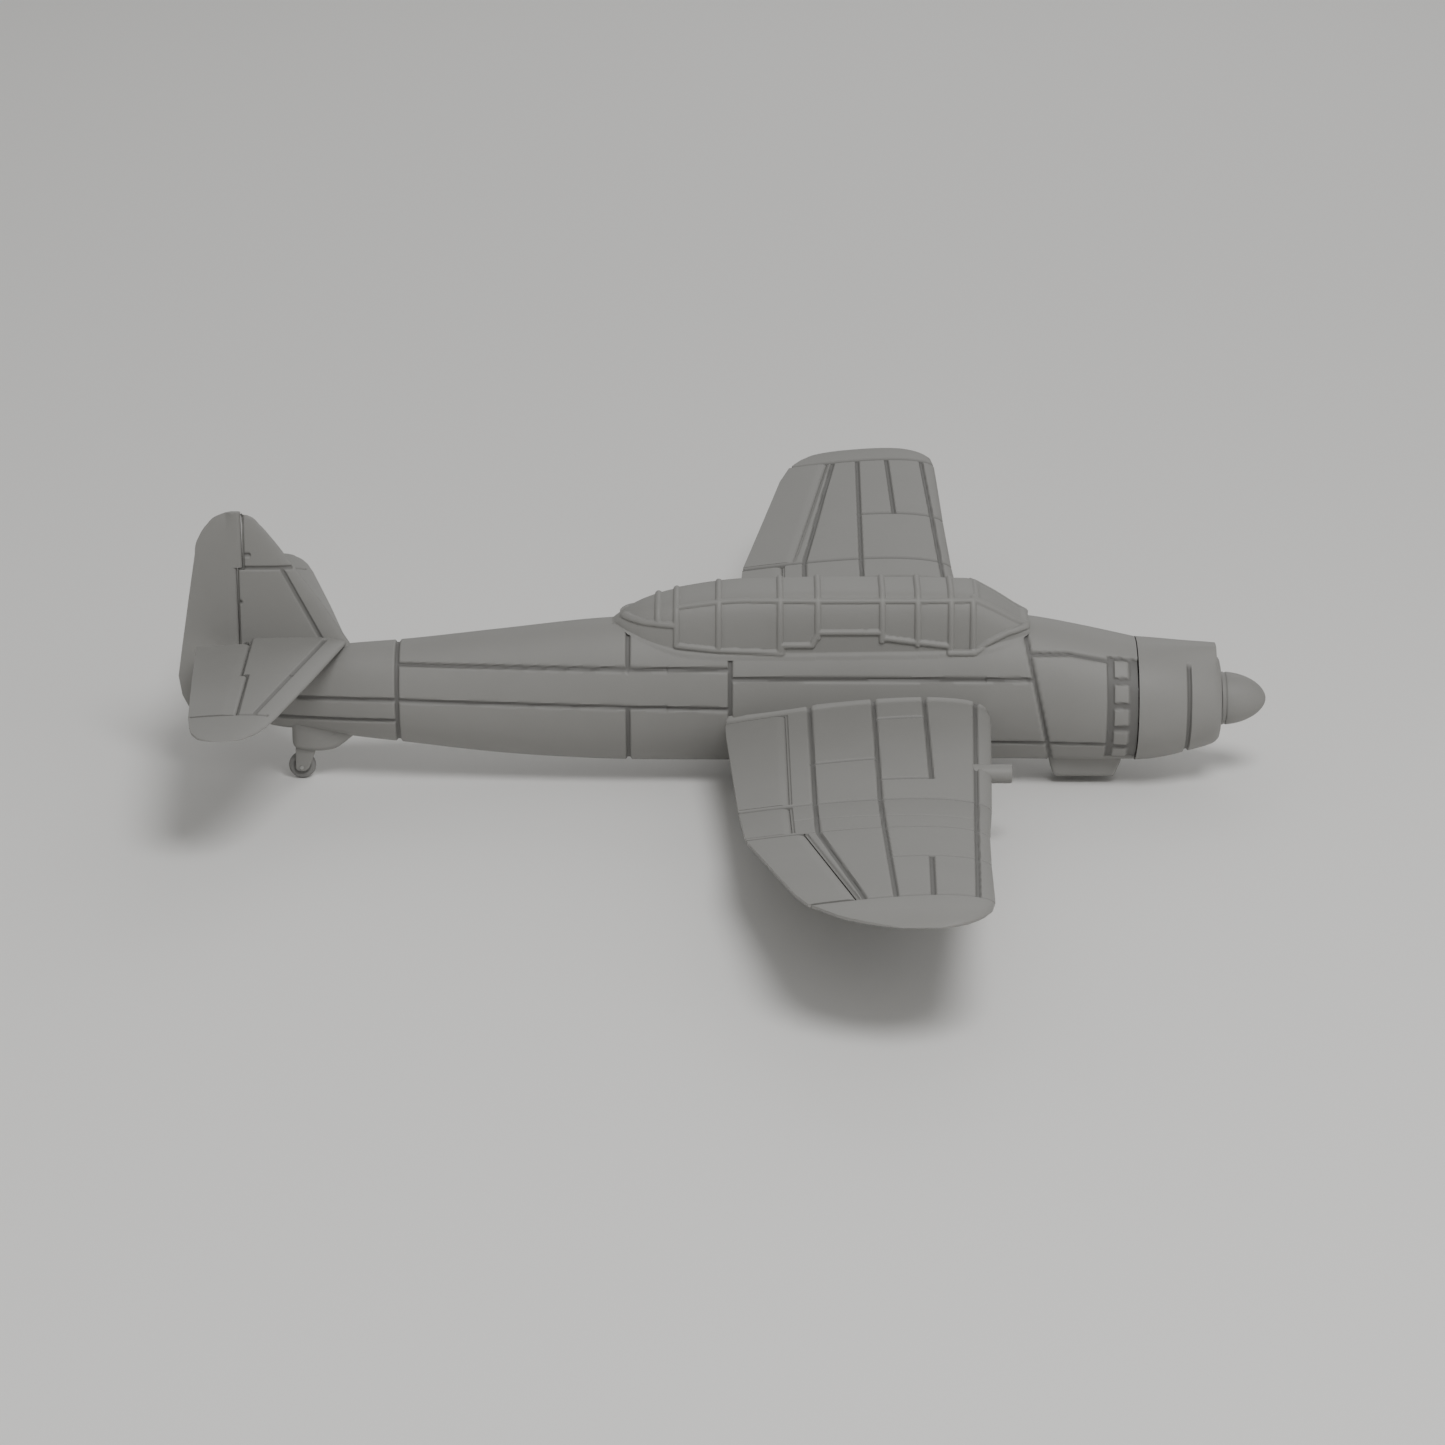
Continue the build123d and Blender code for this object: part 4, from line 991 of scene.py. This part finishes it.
# tail wheel group: fat little wheel, tapered fork, fairing on the belly
tailWheel = {"x": -155.4, "radius": 5.0, "width": 3.6, "hub": 2.1, "bore": 0.8, "step": 0.12}
fork = {"gap": 2.2, "thick": 1.2, "topZ": 16.4, "topHalf": 2.1, "lowHalf": 2.3, "rake": 3.4}


def wheelPiece():
    half = tailWheel["width"] / 2
    turn = np.linspace(-math.pi / 2, math.pi / 2, 40)
    hub, bore = tailWheel["hub"], tailWheel["bore"]
    across = half * np.sign(np.sin(turn)) * np.abs(np.sin(turn)) ** 0.8
    tread = np.stack([across, tailWheel["radius"] - half * 0.9 * (1 - np.cos(turn) ** 0.8)], 1)
    face = [
        (half * 0.86, hub + 0.7), (half * 0.62, hub + 0.3), (half * 0.62, hub - 0.3),
        (half * 0.9, hub - 0.6), (half * 0.95, bore + 0.1), (half * 0.95, bore),
    ]
    profile = [(-a, r) for a, r in face[::-1]] + [tuple(p) for p in tread] + face
    profile = np.array(profile + [profile[0]])
    theta = np.linspace(0, 2 * math.pi, 97)[None, :]
    x = tailWheel["x"] + profile[:, 1:2] * np.sin(theta)
    z = tailWheel["radius"] + profile[:, 1:2] * np.cos(theta)
    points = np.stack([x, profile[:, 0:1] + 0 * theta, z], 2)
    piece = loftGrid("tail_wheel_tyre", points, closeEnds=False)
    settle(piece, "tail_wheel", "wheel_rubber", "tail_wheel")


# outline with each corner replaced by a short arc-like curve
def roundedPlate(outline, corner, count=7):
    outline = np.array(outline, float)
    out = []
    for i, p in enumerate(outline):
        before, after = outline[i - 1], outline[(i + 1) % len(outline)]
        a = p + (before - p) * min(0.45, corner / np.linalg.norm(before - p))
        b = p + (after - p) * min(0.45, corner / np.linalg.norm(after - p))
        for t in np.linspace(0, 1, count):
            out.append((1 - t) ** 2 * a + 2 * t * (1 - t) * p + t * t * b)
    return np.array(out)


# side plate between two Y levels with rounded rims
def plateSolid(name, outline, corner, low, high, bevel):
    ring = roundedPlate(outline, corner)
    ring = np.concatenate([ring, ring[:1]])
    middle = ring[:-1].mean(axis=0)
    turn = np.linspace(0, math.pi / 2, 6)
    levels = [(low + bevel * (1 - math.sin(t)), bevel * (1 - math.cos(t))) for t in turn[::-1]]
    levels += [(high - bevel * (1 - math.sin(t)), bevel * (1 - math.cos(t))) for t in turn]
    rows = []
    tangent = np.gradient(ring, axis=0)
    tangent[0] = tangent[-1] = ring[1] - ring[-2]
    inward = np.stack([-tangent[:, 1], tangent[:, 0]], 1)
    inward = inward / np.maximum(np.linalg.norm(inward, axis=1, keepdims=True), 1e-9)
    if np.sum(inward[:-1] * (middle - ring[:-1])) < 0:
        inward = -inward
    for y, inset in levels:
        p = ring + inward * inset
        rows.append(np.stack([p[:, 0], np.full(len(p), y), p[:, 1]], 1))
    rows = np.array(rows)
    return loftGrid(name, rows)


x = tailWheel["x"]
leading, trailing = x + fork["topHalf"] + fork["rake"], x - fork["topHalf"]
legOutline = [
    (x - fork["lowHalf"], 3.6), (x + fork["lowHalf"], 3.6), (leading, 12.0),
    (leading, fork["topZ"]), (trailing, fork["topZ"]), (trailing, 11.0),
]
outer = fork["gap"] + fork["thick"]
legs = [
    plateSolid("tail_fork_right", legOutline, 2.0, -outer, -fork["gap"], 0.35),
    plateSolid("tail_fork_left", legOutline, 2.0, fork["gap"], outer, 0.35),
]
crownOutline = [(x - 1.9, 11.4), (x + 5.2, 11.4), (x + 5.2, fork["topZ"]), (x - 1.9, fork["topZ"])]
legs.append(plateSolid("tail_fork_crown", crownOutline, 0.8, -fork["gap"] - 0.1, fork["gap"] + 0.1, 0.1))
axle = {"radius": 0.74, "proud": 0.3}
turn = np.linspace(0, 2 * math.pi, 17)[:-1]
ring = [(x + axle["radius"] * math.cos(t), tailWheel["radius"] + axle["radius"] * math.sin(t)) for t in turn]
axlePiece = plateSolid("tail_axle", ring, 0.1, -outer - axle["proud"], outer + axle["proud"], 0.15)
for piece in legs:
    settle(piece, "airframe", "grey_plastic", "tail_wheel_strut")
settle(axlePiece, "airframe", "steel_wire", "tail_wheel_strut")
wheelPiece()
fairingOutline = [(-158.6, 26), (-158.6, 12.6), (-150.2, 11.4), (-142.6, 12.2), (-132.4, 20.6), (-132.4, 26)]
piece = plateSolid("tail_fairing_skin", fairingOutline, 3.2, -5.0, 5.0, 2.2)
settle(piece, "airframe", "grey_plastic", "tail_wheel_fairing")
print("tail wheel done")

# gun stubs with an open bore
gun = {
    "tip": 102.5, "rear": 86.0, "radius": 3.4, "bore": 1.9, "depth": 5.0, "out": 73.4, "z": 28.9,
    "round": 0.5, "pole": 0.02,
}


def gunPiece(name, side, node):
    turn = np.linspace(0, math.pi / 2, 8)
    tip, shell, bore, soft = gun["tip"], gun["radius"], gun["bore"], gun["round"]
    lip = [(tip - soft * (1 - math.sin(t)), shell - soft * (1 - math.cos(t))) for t in turn]
    chamfer = [(tip, bore + 0.3), (tip - 0.3, bore)]
    floorOfBore = [(tip - gun["depth"], bore), (tip - gun["depth"], gun["pole"])]
    profile = np.array([(gun["rear"], gun["pole"]), (gun["rear"], shell)] + lip + chamfer + floorOfBore)
    theta = np.linspace(0, 2 * math.pi, 73)[None, :]
    y = side * gun["out"] + profile[:, 1:2] * np.sin(theta)
    z = gun["z"] + profile[:, 1:2] * np.cos(theta)
    points = np.stack([profile[:, 0:1] + 0 * theta, y, z], 2)
    piece = loftGrid(name, points)
    settle(piece, "airframe", "grey_plastic", node)


gunPiece("gun_right_stub", -1, "gun_barrel_right")
gunPiece("gun_left_stub", 1, "gun_barrel_left")
print("gun stubs done")


# floor, light and camera
studio = {"floor": "#ecebe9", "key": 17.0, "fill": 2.5, "rim": 4.0, "world": 0.42}
bm = bmesh.new()
bmesh.ops.create_grid(bm, x_segments=1, y_segments=1, size=6.0)
floorMesh = bpy.data.meshes.new("floor")
bm.to_mesh(floorMesh)
bm.free()
floor = bpy.data.objects.new("floor", floorMesh)
bpy.context.collection.objects.link(floor)
paper, tree, shader, place = newMaterial("studio_paper")
shader.inputs["Base Color"].default_value = tint(studio["floor"])
shader.inputs["Roughness"].default_value = 0.9
clear = addNode(tree, "ShaderNodeBsdfTransparent")  # open from below, so the underside can be seen
facing = addNode(tree, "ShaderNodeNewGeometry")
sides = {0: facing.outputs["Backfacing"], 1: shader.outputs[0], 2: clear.outputs[0]}
blend = addNode(tree, "ShaderNodeMixShader", sides)
output = next(n for n in tree.nodes if n.type == "OUTPUT_MATERIAL")
tree.links.new(blend.outputs[0], output.inputs[0])
floor.data.materials.append(paper)


def areaLight(name, spot, aim, size, power):
    data = bpy.data.lights.new(name, "AREA")
    data.shape, data.size, data.energy = "DISK", size, power
    lamp = bpy.data.objects.new(name, data)
    lamp.location = spot
    lamp.rotation_euler = (Vector(aim) - Vector(spot)).to_track_quat("-Z", "Y").to_euler()
    bpy.context.collection.objects.link(lamp)


centre = (0.0, 0.0, 0.03)
areaLight("key", (0.35, -1.0, 1.5), centre, 0.7, studio["key"])
areaLight("fill", (1.4, -1.3, 0.9), centre, 1.4, studio["fill"])
areaLight("rim", (0.3, 1.5, 1.1), centre, 1.2, studio["rim"])
world = bpy.data.worlds.new("studio")
world.use_nodes = True
world.node_tree.nodes["Background"].inputs["Color"].default_value = tint("#f4f4f2")
world.node_tree.nodes["Background"].inputs["Strength"].default_value = studio["world"]
bpy.context.scene.world = world

lens = bpy.data.cameras.new("camera")
lens.lens, lens.sensor_width = 120.0, 36.0
camera = bpy.data.objects.new("camera", lens)
rise, reach = math.radians(20.0), 1.777
camera.location = (0.0, -math.cos(rise) * reach, 0.0215 + math.sin(rise) * reach)
camera.rotation_euler = (math.radians(90) - rise, 0, 0)
bpy.context.collection.objects.link(camera)
bpy.context.scene.camera = camera
print("camera set")

for node, obj in frame["nodes"].items():
    if slotOf.get(node) in slotMaterials:
        obj.data.materials.clear()
        obj.data.materials.append(slotMaterials[slotOf[node]])
